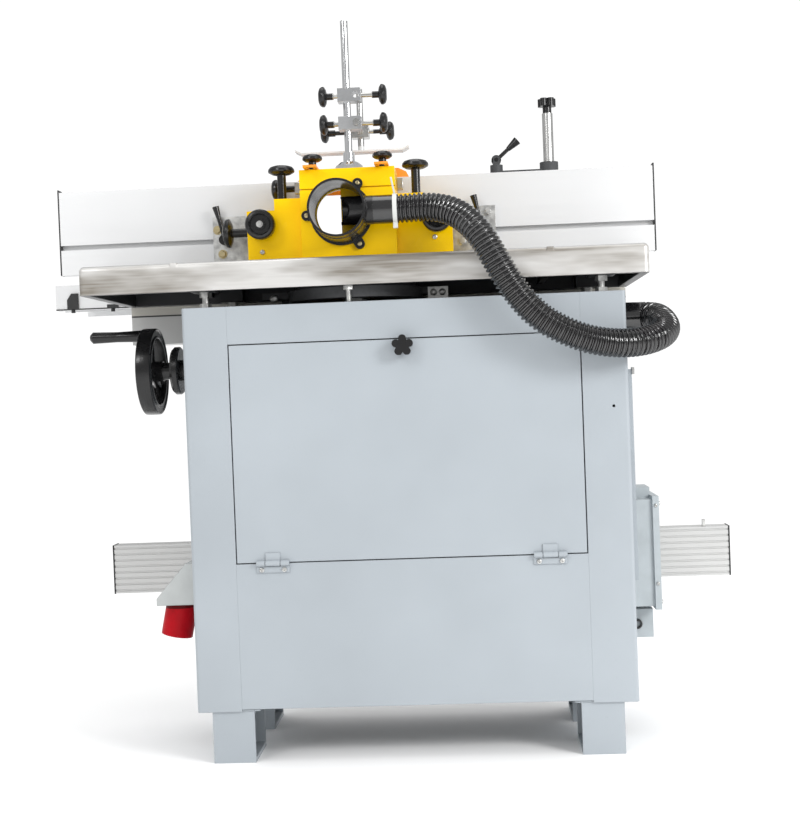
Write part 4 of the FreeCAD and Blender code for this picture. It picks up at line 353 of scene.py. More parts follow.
def bright_metal(name, colour, roughness, stretch):
    """Drawn or turned metal with fine lines across the stretch."""
    finish = Finish(name, colour, metallic=1.0, roughness=roughness).soften(radius=0.0006)
    lines = finish.noise(300, stretch=stretch, detail=3)
    smudges = finish.noise(9, detail=3)
    finish.colour(finish.ramp(lines, shade(colour, 0.9), shade(colour, 1.05)))
    finish.rough(smudges, smooth=roughness * 0.8, coarse=roughness * 1.3)
    return finish.relief(lines, strength=0.06, depth=0.0003).material


def anodised(name, colour):
    """Satin aluminium extrusion with faint drawing lines along its length."""
    finish = Finish(name, colour, metallic=0.35, roughness=0.38).soften(radius=0.0008)
    lines = finish.noise(120, stretch=(0.02, 2, 6), detail=4)
    smudges = finish.noise(2.4, stretch=(1, 1, 1.6), detail=3)
    finish.colour(finish.ramp(smudges, shade(colour, 0.95), shade(colour, 1.04)))
    finish.rough(lines, smooth=0.32, coarse=0.46)
    return finish.relief(lines, strength=0.04, depth=0.0003).material


def milled_carriage(name):
    """Satin sides, palest at the rear from painted light, under a darker milled top."""
    finish = Finish(name, (0.6, 0.605, 0.61), metallic=0.3, roughness=0.4).soften(radius=0.001)
    lines = finish.noise(110, stretch=(0.03, 3, 3), detail=4)
    sides = finish.ramp(lines, (0.53, 0.535, 0.54), (0.61, 0.615, 0.62))
    milled = finish.ramp(lines, (0.4, 0.405, 0.41), (0.5, 0.505, 0.51))
    # Painted light: faces that look to the rear are made paler, as if brightly lit.
    sides = finish.mix(finish.facing("Y", low=-0.6, high=-0.9), sides, (0.8, 0.805, 0.81))
    finish.colour(finish.mix(finish.facing("Z", low=0.6, high=0.9), sides, milled))
    finish.rough(lines, smooth=0.32, coarse=0.46)
    return finish.relief(lines, strength=0.05, depth=0.0003).material


def stepped_rail(name, upper, lower, seam):
    """Cast rail, warm above a seam darkened by a band of painted shade, and greyer below it."""
    finish = Finish(name, upper, metallic=0.2, roughness=0.45).soften(radius=0.0012)
    smudges = finish.noise(6, detail=3)
    top = finish.ramp(smudges, shade(upper, 0.92), shade(upper, 1.06))
    foot = finish.ramp(smudges, shade(lower, 0.94), shade(lower, 1.05))
    blur, groove_width = 0.0003, 0.003
    tone = finish.mix(finish.level("Z", seam, seam - blur), top, foot)
    # Painted shade: a thin band just under the seam is made near black, for the shade in the groove.
    groove = finish.within("Z", seam - groove_width, seam)
    finish.colour(finish.mix(groove, tone, (0.05, 0.05, 0.05)))
    finish.rough(smudges, smooth=0.38, coarse=0.52)
    return finish.relief(finish.noise(260, detail=2), strength=0.08, depth=0.0004).material


def zinc_plate(name):
    """Zinc plating with cloudy spangle."""
    finish = Finish(name, (0.62, 0.62, 0.6), metallic=0.95, roughness=0.36).soften(radius=0.0006)
    spangle = finish.noise(90, detail=3)
    finish.colour(finish.ramp(spangle, (0.5, 0.5, 0.49), (0.75, 0.75, 0.73), low=0.35, high=0.65))
    finish.rough(spangle, smooth=0.28, coarse=0.46)
    return finish.relief(spangle, strength=0.05, depth=0.0003).material


def moulded(name, colour, roughness, grain, gloss=0.5):
    """Moulded plastic with a fine surface grain."""
    finish = Finish(name, colour, roughness=roughness).soften(radius=0.001)
    finish.shader.inputs["Specular IOR Level"].default_value = gloss
    clouds = finish.noise(30, detail=2)
    finish.colour(finish.ramp(clouds, shade(colour, 0.94), shade(colour, 1.07)))
    finish.rough(clouds, smooth=roughness * 0.85, coarse=roughness * 1.2)
    return finish.relief(finish.noise(grain, detail=2), strength=0.07, depth=0.0004).material


def inlet_plastic(name, grey, red, seam):
    """Light grey housing whose shroud below the seam is red, with a painted shadow band under the seam."""
    finish = Finish(name, grey, roughness=0.4).soften(radius=0.003)
    finish.shader.inputs["Specular IOR Level"].default_value = 0.12
    clouds = finish.noise(30, detail=2)
    shell = finish.ramp(clouds, shade(grey, 0.94), shade(grey, 1.04))
    shroud = finish.ramp(clouds, shade(red, 0.85), shade(red, 1.1))
    blur, shadow_band_height = 0.0002, 0.009
    # Painted shadow: a band of the red shroud just under the grey housing is darkened, as if shaded by it.
    band = finish.within("Z", seam - shadow_band_height, seam)
    shroud = finish.mix(band, shroud, shade(red, 0.25))
    finish.colour(finish.mix(finish.level("Z", seam, seam - blur), shell, shroud))
    finish.rough(clouds, smooth=0.32, coarse=0.48)
    return finish.relief(finish.noise(400, detail=2), strength=0.06, depth=0.0004).material


def studded(name, colour, axis, middle, reach):
    """Black moulding on a zinc stud: bare metal within a reach of the middle."""
    finish = Finish(name, colour, roughness=0.3).soften(radius=0.0008)
    clouds = finish.noise(40, detail=2)
    stud = finish.within(axis, middle - reach, middle + reach)
    moulding = finish.ramp(clouds, shade(colour, 0.85), shade(colour, 1.3))
    metal = finish.ramp(clouds, (0.46, 0.46, 0.45), (0.62, 0.62, 0.6))
    finish.colour(finish.mix(stud, moulding, metal))
    finish.link(stud, finish.shader.inputs["Metallic"])
    finish.rough(clouds, smooth=0.24, coarse=0.36)
    return finish.relief(finish.noise(800, detail=2), strength=0.06, depth=0.0003).material


def pressing_shoe(name, top):
    """Pale plastic sole on a plated bar."""
    finish = Finish(name, (0.5, 0.51, 0.51), roughness=0.35).soften(radius=0.0008)
    clouds = finish.noise(40, detail=2)
    blur = 0.0003
    bar = finish.level("Z", top, top + blur)
    sole = finish.ramp(clouds, (0.7, 0.71, 0.71), (0.8, 0.81, 0.81))
    metal = finish.ramp(clouds, (0.55, 0.55, 0.54), (0.7, 0.7, 0.69))
    finish.colour(finish.mix(bar, sole, metal))
    finish.link(bar, finish.shader.inputs["Metallic"])
    finish.rough(clouds, smooth=0.26, coarse=0.38)
    return finish.relief(finish.noise(600, detail=2), strength=0.05, depth=0.0003).material


FINISHES = {}
NODE_FINISHES = {
    "upper_clamp_knobs": "clamp_knobs",
    "lower_clamp_knobs": "clamp_knobs",
    "shoe_clamp": "shoe_clamp",
    "press_shoe": "press_shoe",
    "guide_rail": "rail_beige",
    "support_rail": "rail_shaded_satin",
    "slide_carriage": "carriage_satin",
}


def make_finishes(colours):
    """One material for each of the record's slots, and for what the scene adds."""
    cabinet = tuple(colours.cabinet)
    black = tuple(colours.moulding)
    aluminium = tuple(colours.aluminium)
    shroud = tuple(colours.shroud)
    FINISHES.update({
        "cabinet_paint": painted_sheet("cabinet_paint", cabinet),
        "door_paint": painted_sheet("door_paint", shade(cabinet, 1.02)),
        "hood_yellow": gloss_paint("hood_yellow", tuple(colours.hood)),
        "cast_table": machined_table("cast_table"),
        "bare_cast": casting("bare_cast", (0.055, 0.057, 0.06)),
        "bright_steel": bright_metal("bright_steel", (0.66, 0.66, 0.65), roughness=0.3, stretch=(1, 1, 8)),
        "zinc": zinc_plate("zinc"),
        "post_chrome": bright_metal("post_chrome", (0.82, 0.83, 0.84), roughness=0.12, stretch=(1, 1, 0.1)),
        "fence_aluminium": anodised("fence_aluminium", aluminium),
        "black_knob": moulded("black_knob", black, roughness=0.24, grain=900),
        "hose_black": moulded("hose_black", black, roughness=0.15, grain=700, gloss=1.0),
        "guard_orange": moulded("guard_orange", tuple(colours.guard), roughness=0.28, grain=500),
        "clamp_grey": bright_metal("clamp_grey", (0.55, 0.56, 0.57), roughness=0.34, stretch=(1, 4, 4)),
        "belt_rubber": moulded("belt_rubber", (0.03, 0.03, 0.03), roughness=0.7, grain=300),
        "motor_grey": painted_sheet("motor_grey", (0.16, 0.2, 0.24)),
        "box_plastic": moulded("box_plastic", (0.42, 0.46, 0.48), roughness=0.45, grain=350),
        "inlet_plastic": inlet_plastic("inlet_plastic", (0.5, 0.52, 0.515), shroud, SHROUD_TOP_Z),
        "clamp_knobs": studded("clamp_knobs", black, "X", CLAMP_KNOBS_X, CLAMP_STUD_REACH),
        "shoe_clamp": studded("shoe_clamp", black, "X", SHOE_CLAMP_X, SHOE_STUD_REACH),
        "press_shoe": pressing_shoe("press_shoe", SHOE_SOLE_TOP_Z),
        "rail_beige": stepped_rail("rail_beige", (0.5, 0.485, 0.44), (0.52, 0.52, 0.51), RAIL_SEAM_Z),
        # Painted shade: the support rail gets a darker copy of the fence aluminium, for the shade it is seen
        # in.
        "rail_shaded_satin": anodised("rail_shaded_satin", (0.6, 0.6, 0.59)),
        "carriage_satin": milled_carriage("carriage_satin"),
        "tie_white": moulded("tie_white", (0.58, 0.59, 0.57), roughness=0.4, grain=500),
        "cap_black": moulded("cap_black", (0.025, 0.025, 0.026), roughness=0.45, grain=350),
        "brass_bolt": bright_metal("brass_bolt", (0.62, 0.52, 0.3), roughness=0.3, stretch=(1, 1, 1)),
    })


# Building pieces


def add_piece(name, mesh_edit, body, slot, finish=None, bevel=0.0, smooth=True):
    """Turn an edited mesh into a piece that rides on a body."""
    bmesh.ops.remove_doubles(mesh_edit, verts=mesh_edit.verts, dist=1e-6)
    bmesh.ops.recalc_face_normals(mesh_edit, faces=mesh_edit.faces)
    mesh = bpy.data.meshes.new(name)
    mesh_edit.to_mesh(mesh)
    mesh_edit.free()
    piece = bpy.data.objects.new(name, mesh)
    bpy.context.scene.collection.objects.link(piece)
    mesh.materials.append(FINISHES[finish or slot])
    if smooth:
        mesh.shade_smooth()
        mesh.set_sharp_from_angle(angle=CREASE_ANGLE)
    if bevel:
        rounding = piece.modifiers.new("rounding", "BEVEL")
        rounding.width = bevel
        rounding.segments = 2
        rounding.limit_method = "ANGLE"
    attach(piece, body)
    return piece


def facing_matrix(spot, direction):
    """Matrix that puts local +Z along a direction at a spot."""
    return Matrix.Translation(spot) @ Vector(direction).to_track_quat("Z", "Y").to_matrix().to_4x4()


def add_block(edit, low, high):
    """Block between two corners."""
    low, high = Vector(low), Vector(high)
    size = high - low
    matrix = Matrix.Translation((low + high) / 2) @ Matrix.Diagonal((*size, 1))
    return bmesh.ops.create_cube(edit, size=1, matrix=matrix)["verts"]


def spin_profile(edit, profile, matrix, steps=24):
    """Turn a profile of radius and height about local Z."""
    verts = [edit.verts.new((radius, 0, height)) for radius, height in profile]
    edges = [edit.edges.new(pair) for pair in zip(verts, verts[1:])]
    before = set(edit.verts) - set(verts)
    bmesh.ops.spin(edit, geom=verts + edges, axis=(0, 0, 1), cent=(0, 0, 0), angle=math.tau, steps=steps,
                   use_merge=True, use_duplicate=False)
    made = [vert for vert in edit.verts if vert not in before]
    bmesh.ops.transform(edit, matrix=matrix, verts=made)
    return made


def add_hex_bolt(edit, spot, direction, radius, height, washer):
    """Hexagon head with a chamfered top on a washer."""
    matrix = facing_matrix(spot, direction)
    thick = height * 0.25
    spin_profile(edit, [(0, 0), (washer, 0), (washer, thick), (0, thick)], matrix, steps=20)
    middle = Matrix.Translation((0, 0, thick + height * 0.5))
    head = bmesh.ops.create_cone(edit, cap_ends=True, segments=6, radius1=radius, radius2=radius,
                                 depth=height, matrix=matrix @ middle)["verts"]
    axis = Vector(direction).normalized()
    top = [vert for vert in head if (vert.co - Vector(spot)).dot(axis) > height]
    crown = [edge for edge in edit.edges if all(vert in top for vert in edge.verts)]
    bmesh.ops.bevel(edit, geom=crown, offset=height * 0.14, offset_type="OFFSET", affect="EDGES", segments=1,
                    profile=0.5, material=-1)


def add_socket_screw(edit, spot, direction, radius):
    """Button-headed screw with a hexagon socket."""
    matrix = facing_matrix(spot, direction)
    spin_profile(edit, [
        (radius, 0),
        (radius, radius * 0.3),
        (radius * 0.86, radius * 0.62),
        (radius * 0.52, radius * 0.8),
        (radius * 0.46, radius * 0.8),
        (radius * 0.44, radius * 0.25),
        (0, radius * 0.22),
    ], matrix, steps=18)


# Operators


class MOULDER_OT_stage(bpy.types.Operator):
    """Floor, soft studio light and the camera at the photograph's angle"""

    bl_idname = "moulder.stage"
    bl_label = "Stage"

    # Half of the floor's width in metres.
    floor_reach = 14
    # Strength of the white surround, and what glossy surfaces mirror of it.
    surround = 1.06
    surround_in_gloss = 0.5
    # Name, place, target, size in metres and power in watts of each soft box.
    boxes = (
        ("key_box", (-1.7, -2.8, 2.5), (0.0, 0.0, 0.7), 0.7, 16),
        ("fill_box", (2.2, -2.0, 1.7), (0.1, 0.0, 0.6), 0.9, 46),
        ("top_box", (0.0, -0.2, 3.2), (0.0, 0.0, 0.0), 1.6, 18),
        ("front_box", (0.6, 3.2, 2.2), (0.0, 0.0, 0.9), 2.4, 6),
    )
    # Camera's place in metres, its turns, and its lens and film in millimetres.
    camera_spot = (0.164, -2.628, 0.654)
    yaw = math.radians(3.0)
    pitch = math.radians(1.2)
    roll = math.radians(2.2)
    focal_length = 60.8
    film_width = 36

    def execute(self, context):
        floor_edit = bmesh.new()
        bmesh.ops.create_grid(floor_edit, x_segments=2, y_segments=2, size=self.floor_reach)
        floor_mesh = bpy.data.meshes.new("studio_floor")
        floor_edit.to_mesh(floor_mesh)
        floor_edit.free()
        floor = bpy.data.objects.new("studio_floor", floor_mesh)
        context.scene.collection.objects.link(floor)
        paper = Finish("studio_paper", (0.96, 0.96, 0.96), roughness=0.8)
        paper.shader.inputs["Specular IOR Level"].default_value = 0.0
        paper.colour(paper.ramp(paper.noise(0.6), (0.955, 0.955, 0.955), (0.965, 0.965, 0.965)))
        floor_mesh.materials.append(paper.material)
        context.scene.view_settings.view_transform = "Standard"
        self.add_lights(context)
        self.add_camera(context)
        return {"FINISHED"}

    def add_lights(self, context):
        """Large soft boxes round the machine and a white surround."""
        world = bpy.data.worlds.new("studio_surround")
        world.use_nodes = True
        background = world.node_tree.nodes["Background"]
        background.inputs["Color"].default_value = (1.0, 1.0, 1.0, 1)
        rays = world.node_tree.nodes.new("ShaderNodeLightPath")
        strength = world.node_tree.nodes.new("ShaderNodeMapRange")
        strength.inputs["To Min"].default_value = self.surround
        strength.inputs["To Max"].default_value = self.surround_in_gloss
        world.node_tree.links.new(rays.outputs["Is Glossy Ray"], strength.inputs["Value"])
        world.node_tree.links.new(strength.outputs["Result"], background.inputs["Strength"])
        context.scene.world = world
        for name, spot, target, size, power in self.boxes:
            lamp = bpy.data.lights.new(name, "AREA")
            lamp.shape = "SQUARE"
            lamp.size = size
            lamp.energy = power
            light = bpy.data.objects.new(name, lamp)
            light.location = spot
            direction = Vector(target) - Vector(spot)
            light.rotation_euler = direction.to_track_quat("-Z", "Y").to_euler()
            context.scene.collection.objects.link(light)

    def add_camera(self, context):
        """Camera solved from the photograph: low behind the machine, a little to the right and tilted."""
        level = math.cos(self.pitch)
        ahead = Vector((-math.sin(self.yaw) * level, math.cos(self.yaw) * level, -math.sin(self.pitch)))
        right = ahead.cross(UP).normalized()
        above = right.cross(ahead)
        tilted_right = right * math.cos(self.roll) - above * math.sin(self.roll)
        tilted_above = above * math.cos(self.roll) + right * math.sin(self.roll)
        turn = Matrix((tilted_right, tilted_above, -ahead)).transposed()
        lens = bpy.data.cameras.new("photo_camera")
        lens.sensor_width = self.film_width
        lens.sensor_fit = "HORIZONTAL"
        lens.lens = self.focal_length
        lens.clip_end = 60
        camera = bpy.data.objects.new("photo_camera", lens)
        camera.matrix_world = Matrix.Translation(self.camera_spot) @ turn.to_4x4()
        context.scene.collection.objects.link(camera)
        context.scene.camera = camera


class MOULDER_OT_finishes(bpy.types.Operator):
    """Procedural finishes on every CAD node"""

    bl_idname = "moulder.finishes"
    bl_label = "Finishes"

    def execute(self, context):
        make_finishes(context.scene.moulder_colours)
        slots = {entry["node"]: entry["material_slot"] for entry in frame["record"]["subparts"]}
        for name, node in frame["nodes"].items():
            for material_slot in node.material_slots:
                material_slot.material = FINISHES[NODE_FINISHES.get(name, slots[name])]
        return {"FINISHED"}


class MOULDER_OT_hose(bpy.types.Operator):
    """Ribbed dust hose with its cuff and cable tie"""

    bl_idname = "moulder.hose"
    bl_label = "Dust hose"

    # Length of each smooth end, and the tie's place along the hose, in metres.
    cuff = 0.044
    tie_place = 0.038
    # Shares of the hose's radius.
    bore_share = 0.76
    shoulder_share = 0.965
    # Faces round the hose.
    sides = 28

    def execute(self, context):
        sizes = context.scene.moulder_sizes
        points = self.route_points(context)
        lengths = [0.0]
        for first, second in zip(points, points[1:]):
            lengths.append(lengths[-1] + (second - first).length)
        hose = self.ribbed_tube(points, lengths, sizes)
        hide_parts("dust_hose")
        tie = self.cable_tie(points, lengths, sizes)
        return {"FINISHED"}

    def route_points(self, context):
        """Points along the route's smooth spline."""
        curve = bpy.data.curves.new("hose_route", "CURVE")
        curve.dimensions = "3D"
        curve.resolution_u = 24
        spline = curve.splines.new("NURBS")
        spline.points.add(len(HOSE_ROUTE) - 1)
        for point, spot in zip(spline.points, HOSE_ROUTE):
            point.co = (*spot, 1)
        spline.order_u = 3
        spline.use_endpoint_u = True
        route = bpy.data.objects.new("hose_route", curve)
        context.scene.collection.objects.link(route)
        context.view_layer.update()
        line = bpy.data.meshes.new_from_object(route)
        points = [vert.co.copy() for vert in line.vertices]
        bpy.data.objects.remove(route)
        bpy.data.curves.remove(curve)
        bpy.data.meshes.remove(line)
        return points

    def spot_at(self, points, lengths, distance):
        """Place and direction at a distance along the points."""
        distance = min(max(distance, 0.0), lengths[-1])
        index = next((i for i in range(1, len(lengths)) if lengths[i] >= distance), len(lengths) - 1)
        first, second = points[index - 1], points[index]
        share = (distance - lengths[index - 1]) / max(lengths[index] - lengths[index - 1], 1e-9)
        # The direction is taken over five stretches, so that it turns smoothly.
        low = points[max(index - 3, 0)]
        high = points[min(index + 2, len(points) - 1)]
        return first.lerp(second, share), (high - low).normalized()

    def ribbed_tube(self, points, lengths, sizes):
        """Rings carried along the route and bridged, with rounded ribs between smooth ends."""
        radius, valley = sizes.hose_radius, sizes.hose_valley
        inside = radius * self.bore_share
        shoulder = radius * self.shoulder_share
        # Each rib's shares of the pitch, with the radius there.
        profile = (
            (0.14, valley),
            (0.34, valley),
            (0.46, shoulder),
            (0.6, radius),
            (0.76, radius),
            (0.92, shoulder),
        )
        total = lengths[-1]
        pitch = (total - 2 * self.cuff) / sizes.hose_ribs
        stations = [(0.0, inside), (0.0, radius), (self.cuff * 0.5, radius), (self.cuff, radius)]
        for rib in range(sizes.hose_ribs):
            start = self.cuff + pitch * rib
            stations += [(start + pitch * share, size) for share, size in profile]
        stations += [(total - self.cuff, radius), (total, radius), (total, inside)]
        edit = bmesh.new()
        across = Vector((0, 1, 0))
        last_edges = None
        for distance, size in stations:
            spot, along = self.spot_at(points, lengths, distance)
            across = (across - along * across.dot(along)).normalized()
            matrix = Matrix((across, along.cross(across), along)).transposed().to_4x4()
            matrix.translation = spot
            ring = bmesh.ops.create_circle(edit, segments=self.sides, radius=size, matrix=matrix)["verts"]
            edges = list({edge for vert in ring for edge in vert.link_edges})
            if last_edges:
                bmesh.ops.bridge_loops(edit, edges=last_edges + edges)
            last_edges = edges
        return add_piece("dust_hose_ribbed", edit, "cabinet", "hose_black")

    def cable_tie(self, points, lengths, sizes):
        """White tie round the hose's cuff, with its head below and its tail standing up."""
        spot, along = self.spot_at(points, lengths, self.tie_place)
        inner = sizes.hose_radius
        half_width, outer = 0.0038, inner + 0.0014
        band = [(inner, -half_width), (outer, -half_width), (outer, half_width), (inner, half_width),
                (inner, -half_width)]
        edit = bmesh.new()
        spin_profile(edit, band, facing_matrix(spot, along), steps=40)
        head = spot + Vector((0.0, -0.006, -inner - 0.003))
        half_head = Vector((0.004, 0.0035, 0.006))
        add_block(edit, head - half_head, head + half_head)
        tail_foot = spot + Vector((0.0, -0.004, inner))
        tail_low, tail_high = Vector((-0.0016, -0.0006, -0.002)), Vector((0.0016, 0.0006, 0.03))
        tail = add_block(edit, tail_foot + tail_low, tail_foot + tail_high)
        lean = Matrix.Rotation(math.radians(12), 4, "X") @ Matrix.Rotation(math.radians(-10), 4, "Y")
        bmesh.ops.rotate(edit, verts=tail, cent=tail_foot, matrix=lean)
        return add_piece("cable_tie", edit, "cabinet", "hose_black", "tie_white", bevel=0.0004)


class MOULDER_OT_fasteners(bpy.types.Operator):
    """Bolts, screws and clamp blocks of hinges, hood and fence"""

    bl_idname = "moulder.fasteners"
    bl_label = "Fasteners"

    def execute(self, context):
        screw = context.scene.moulder_sizes.screw_head
        self.hinge_screws(screw)
        self.hood_screws(screw)
        self.collar_screws()
        self.carrier_bolts()
        self.adjuster_nuts()
        self.guard_blocks()
        return {"FINISHED"}

    def hinge_screws(self, screw):
        """Two screws in the fixed leaf of each hinge."""
        edit = bmesh.new()
        spread = 0.02
        for middle in HINGE_MIDDLES_X:
            for x in (middle - spread, middle + spread):
                add_socket_screw(edit, (x, HINGE_LEAF_Y, HINGE_SCREWS_Z), REARWARD, screw)
        add_piece("hinge_screws", edit, "cabinet", "zinc")

    def hood_screws(self, screw):
        """Small screws on the hood's wings."""
        edit = bmesh.new()
        for x, z in HOOD_SCREWS:
            add_socket_screw(edit, (x, HOOD_WING_Y, z), REARWARD, screw)
        add_piece("hood_screws", edit, "cabinet", "zinc")

    def collar_screws(self):
        """Brass screw in each ear of the dust collar."""
        edit = bmesh.new()
        orbit, head = 0.062, 0.0042
        x, z = PORT_MIDDLE
        for degrees in (60, 180, 300):
            angle = math.radians(degrees)
            spot = (x + orbit * math.cos(angle), COLLAR_EAR_Y, z + orbit * math.sin(angle))
            add_socket_screw(edit, spot, REARWARD, head)
        add_piece("collar_screws", edit, "cabinet", "zinc", "brass_bolt")

    def carrier_bolts(self):
        """Hexagon bolts that hold each fence on its carrier plate."""
        for side, finish in zip(SIDES, ("brass_bolt", "zinc")):
            edit = bmesh.new()
            for x, z in CARRIER_BOLTS[side]:
                spot = (x, CARRIER_FACE_Y, z)
                add_hex_bolt(edit, spot, REARWARD, radius=0.0065, height=0.005, washer=0.0085)
            add_piece(f"{side}_carrier_bolts", edit, f"{side}_carrier", "zinc", finish)

    def adjuster_nuts(self):
        """Grey nut in the dish of each fine adjuster."""
        for side in SIDES:
            edit = bmesh.new()
            x, z = ADJUSTER_MIDDLES[side]
            add_hex_bolt(edit, (x, ADJUSTER_FACE_Y, z), REARWARD, radius=0.0046, height=0.0026, washer=0.006)
            add_piece(f"{side}_adjuster_nut", edit, f"{side}_adjuster", "zinc")

    def guard_blocks(self):
        """Plated clamp blocks at both ends of the hood's cover."""
        edit = bmesh.new()
        rear, front = -0.1534, -0.1326
        bottom, top = 1.0186, 1.0394
        for left, right in ((-0.1432, -0.1252), (0.045, 0.056)):
            add_block(edit, (left, rear, bottom), (right, front, top))
        add_piece("guard_blocks", edit, "cabinet", "zinc", bevel=0.001)


class MOULDER_OT_wheel(bpy.types.Operator):
    """Black sleeve and broad rim of the handwheel"""

    bl_idname = "moulder.wheel"
    bl_label = "Handwheel"

    def execute(self, context):
        self.wheel_hub()
        self.wheel_rim()
        return {"FINISHED"}

    def wheel_hub(self):
        """Black sleeve between the handwheel and its lock ring."""
        edit = bmesh.new()
        bore, length = 0.0093, 0.0178
        profile = [(bore, 0), (0.017, 0), (0.015, length), (bore, length), (bore, 0)]
        matrix = facing_matrix((WHEEL_HUB_X, WHEEL_AXIS_Y, WHEEL_AXIS_Z), RIGHTWARD)
        spin_profile(edit, profile, matrix, steps=32)
        add_piece("wheel_hub", edit, "handwheel", "black_knob")

    def wheel_rim(self):
        """Broad rim of the handwheel, hollow on the cabinet's side."""
        edit = bmesh.new()
        inner, outer = 0.0625, 0.0816
        width, groove_floor = 0.027, 0.0245
        profile = [
            (inner, 0.001),
            (inner + 0.001, 0),
            (outer - 0.0021, 0),
            (outer - 0.0004, 0.0012),
            (outer, 0.003),
            (outer, width - 0.003),
            (outer - 0.0004, width - 0.0012),
            (outer - 0.0018, width),
            (outer - 0.0028, width),
            (outer - 0.0038, width - 0.001),
            (outer - 0.0048, groove_floor),
            (inner + 0.0051, groove_floor),
            (inner + 0.0041, width - 0.001),
            (inner + 0.0033, width),
            (inner + 0.001, width),
            (inner, width - 0.001),
            (inner, 0.001),
        ]
        matrix = facing_matrix((WHEEL_RIM_X, WHEEL_AXIS_Y, WHEEL_AXIS_Z), RIGHTWARD)
        spin_profile(edit, profile, matrix, steps=72)
        add_piece("wheel_rim", edit, "handwheel", "black_knob")


class MOULDER_OT_underside(bpy.types.Operator):
    """Threaded rod, screws and plate that show between table and cabinet"""

    bl_idname = "moulder.underside"
    bl_label = "Underside fittings"

    bracket_screw_head = 0.0075
    plate_screw_head = 0.0062
    plate_thickness = 0.0035
    plate_left, plate_right = 0.094, 0.131
    plate_bottom, plate_top = 0.8165, 0.8385
    rod_foot = (-0.043, -0.2535, 0.8055)
    nut_middle = (-0.043, -0.2535, 0.8352)

    def execute(self, context):
        edit = bmesh.new()
        self.threaded_rod(edit)
        x, z = BRACKET_SCREW
        add_socket_screw(edit, (x, BRACKET_FACE_Y, z), REARWARD, self.bracket_screw_head)
        plate_face = BRACKET_FACE_Y - self.plate_thickness
        low = (self.plate_left, plate_face, self.plate_bottom)
        high = (self.plate_right, BRACKET_FACE_Y, self.plate_top)
        add_block(edit, low, high)
        for x, z in PLATE_SCREWS:
            add_socket_screw(edit, (x, plate_face, z), REARWARD, self.plate_screw_head)
        add_piece("bracket_fittings", edit, "cabinet", "zinc")
        return {"FINISHED"}

    def threaded_rod(self, edit):
        """Plated rod with a thread and a nut, standing on the bracket's flange."""
        pitch, turns = 0.0016, 22
        radius = 0.0052
        root = radius * 0.86
        profile = [(0, 0), (radius * 0.8, 0)]
        for turn in range(turns):
            profile += [(radius, pitch * (turn + 0.5)), (root, pitch * (turn + 1))]
        profile += [(0, pitch * turns)]
        spin_profile(edit, profile, Matrix.Translation(self.rod_foot), steps=20)
        nut, nut_height = 0.0095, 0.007
        bmesh.ops.create_cone(edit, cap_ends=True, segments=6, radius1=nut, radius2=nut, depth=nut_height,
                              matrix=Matrix.Translation(self.nut_middle))


class MOULDER_OT_caps(bpy.types.Operator):
    """Dark end caps of the fence and rails, and the sliding table's tabs"""

    bl_idname = "moulder.caps"
    bl_label = "End caps"

    thick = 0.003
    edge = 0.0008

    def execute(self, context):
        self.fence_caps()
        self.rail_caps()
        self.rail_clip()
        self.carriage_tabs()
        return {"FINISHED"}

    def fence_caps(self):
        """Cap on the outer end of each fence, proud of its top."""
        proud = 0.005
        for side in SIDES:
            node = f"{side}_fence"
            low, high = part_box(node)
            x = low[0] - self.thick if side == "left" else high[0]
            edit = bmesh.new()
            add_block(edit, (x, low[1], low[2]), (x + self.thick, high[1], high[2] + proud))
            add_piece(f"{side}_fence_cap", edit, node, "fence_aluminium", "cap_black", bevel=self.edge)

    def rail_caps(self):
        """Caps round both ends of the support rail."""
        lip = 0.001
        low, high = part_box("support_rail")
        edit = bmesh.new()
        for x in (low[0], high[0] - self.thick):
            add_block(edit, (x, low[1] - lip, low[2] - lip), (x + self.thick, high[1] + lip, high[2] + lip))
        add_piece("support_rail_caps", edit, "cabinet", "fence_aluminium", "cap_black", bevel=self.edge)

    def rail_clip(self):
        """Small upright clip near the support rail's right end."""
        low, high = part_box("support_rail")
        middle, half_width, height = high[0] - 0.05, 0.003, 0.014
        rear, front = low[1] + 0.004, low[1] + 0.014
        edit = bmesh.new()
        add_block(edit, (middle - half_width, rear, high[2]), (middle + half_width, front, high[2] + height))
        add_piece("support_rail_clip", edit, "cabinet", "zinc", bevel=0.0006)

    def carriage_tabs(self):
        """Black stop tab and block with pins at the sliding table's left end, and a black strip along its
        lower edge that paints the shadow line under it.
        """
        edit = bmesh.new()
        low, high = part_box("slide_carriage")
        rear, reach = low[1], 0.005
        bottom = 0.8405
        tab_left, tab_right, tab_top, chamfer_foot = -0.648, -0.625, 0.873, 0.860
        outline = [
            (tab_left, bottom),
            (tab_right, bottom),
            (tab_right, tab_top),
            (tab_left + 0.009, tab_top),
            (tab_left, chamfer_foot),
        ]
        face = edit.faces.new([edit.verts.new((x, rear - reach, z)) for x, z in outline])
        grown = bmesh.ops.extrude_face_region(edit, geom=[face])["geom"]
        verts = [part for part in grown if isinstance(part, bmesh.types.BMVert)]
        bmesh.ops.translate(edit, vec=(0, reach, 0), verts=verts)
        block_left, block_right, block_top = -0.566, -0.543, 0.848
        add_block(edit, (block_left, rear - reach, bottom), (block_right, rear, block_top))
        # Painted shadow: a thin black strip along the lower rear edge stands in for the shadow line under the
        # carriage.
        shadow_strip_thickness, shadow_strip_height = 0.0015, 0.0025
        add_block(edit, (low[0], rear - shadow_strip_thickness, low[2]), (high[0], rear, low[2] + shadow_strip_height))
        pin, pin_length, pin_y = 0.0042, 0.006, rear - 0.001
        for x in ((tab_left + tab_right) / 2, (block_left + block_right) / 2):
            matrix = facing_matrix((x, pin_y, low[2]), DOWNWARD)
            spin_profile(edit, [(0, 0), (pin, 0), (pin, pin_length), (0, pin_length)], matrix, steps=12)
        add_piece("carriage_tabs", edit, "slide", "fence_aluminium", "cap_black", bevel=0.0006)


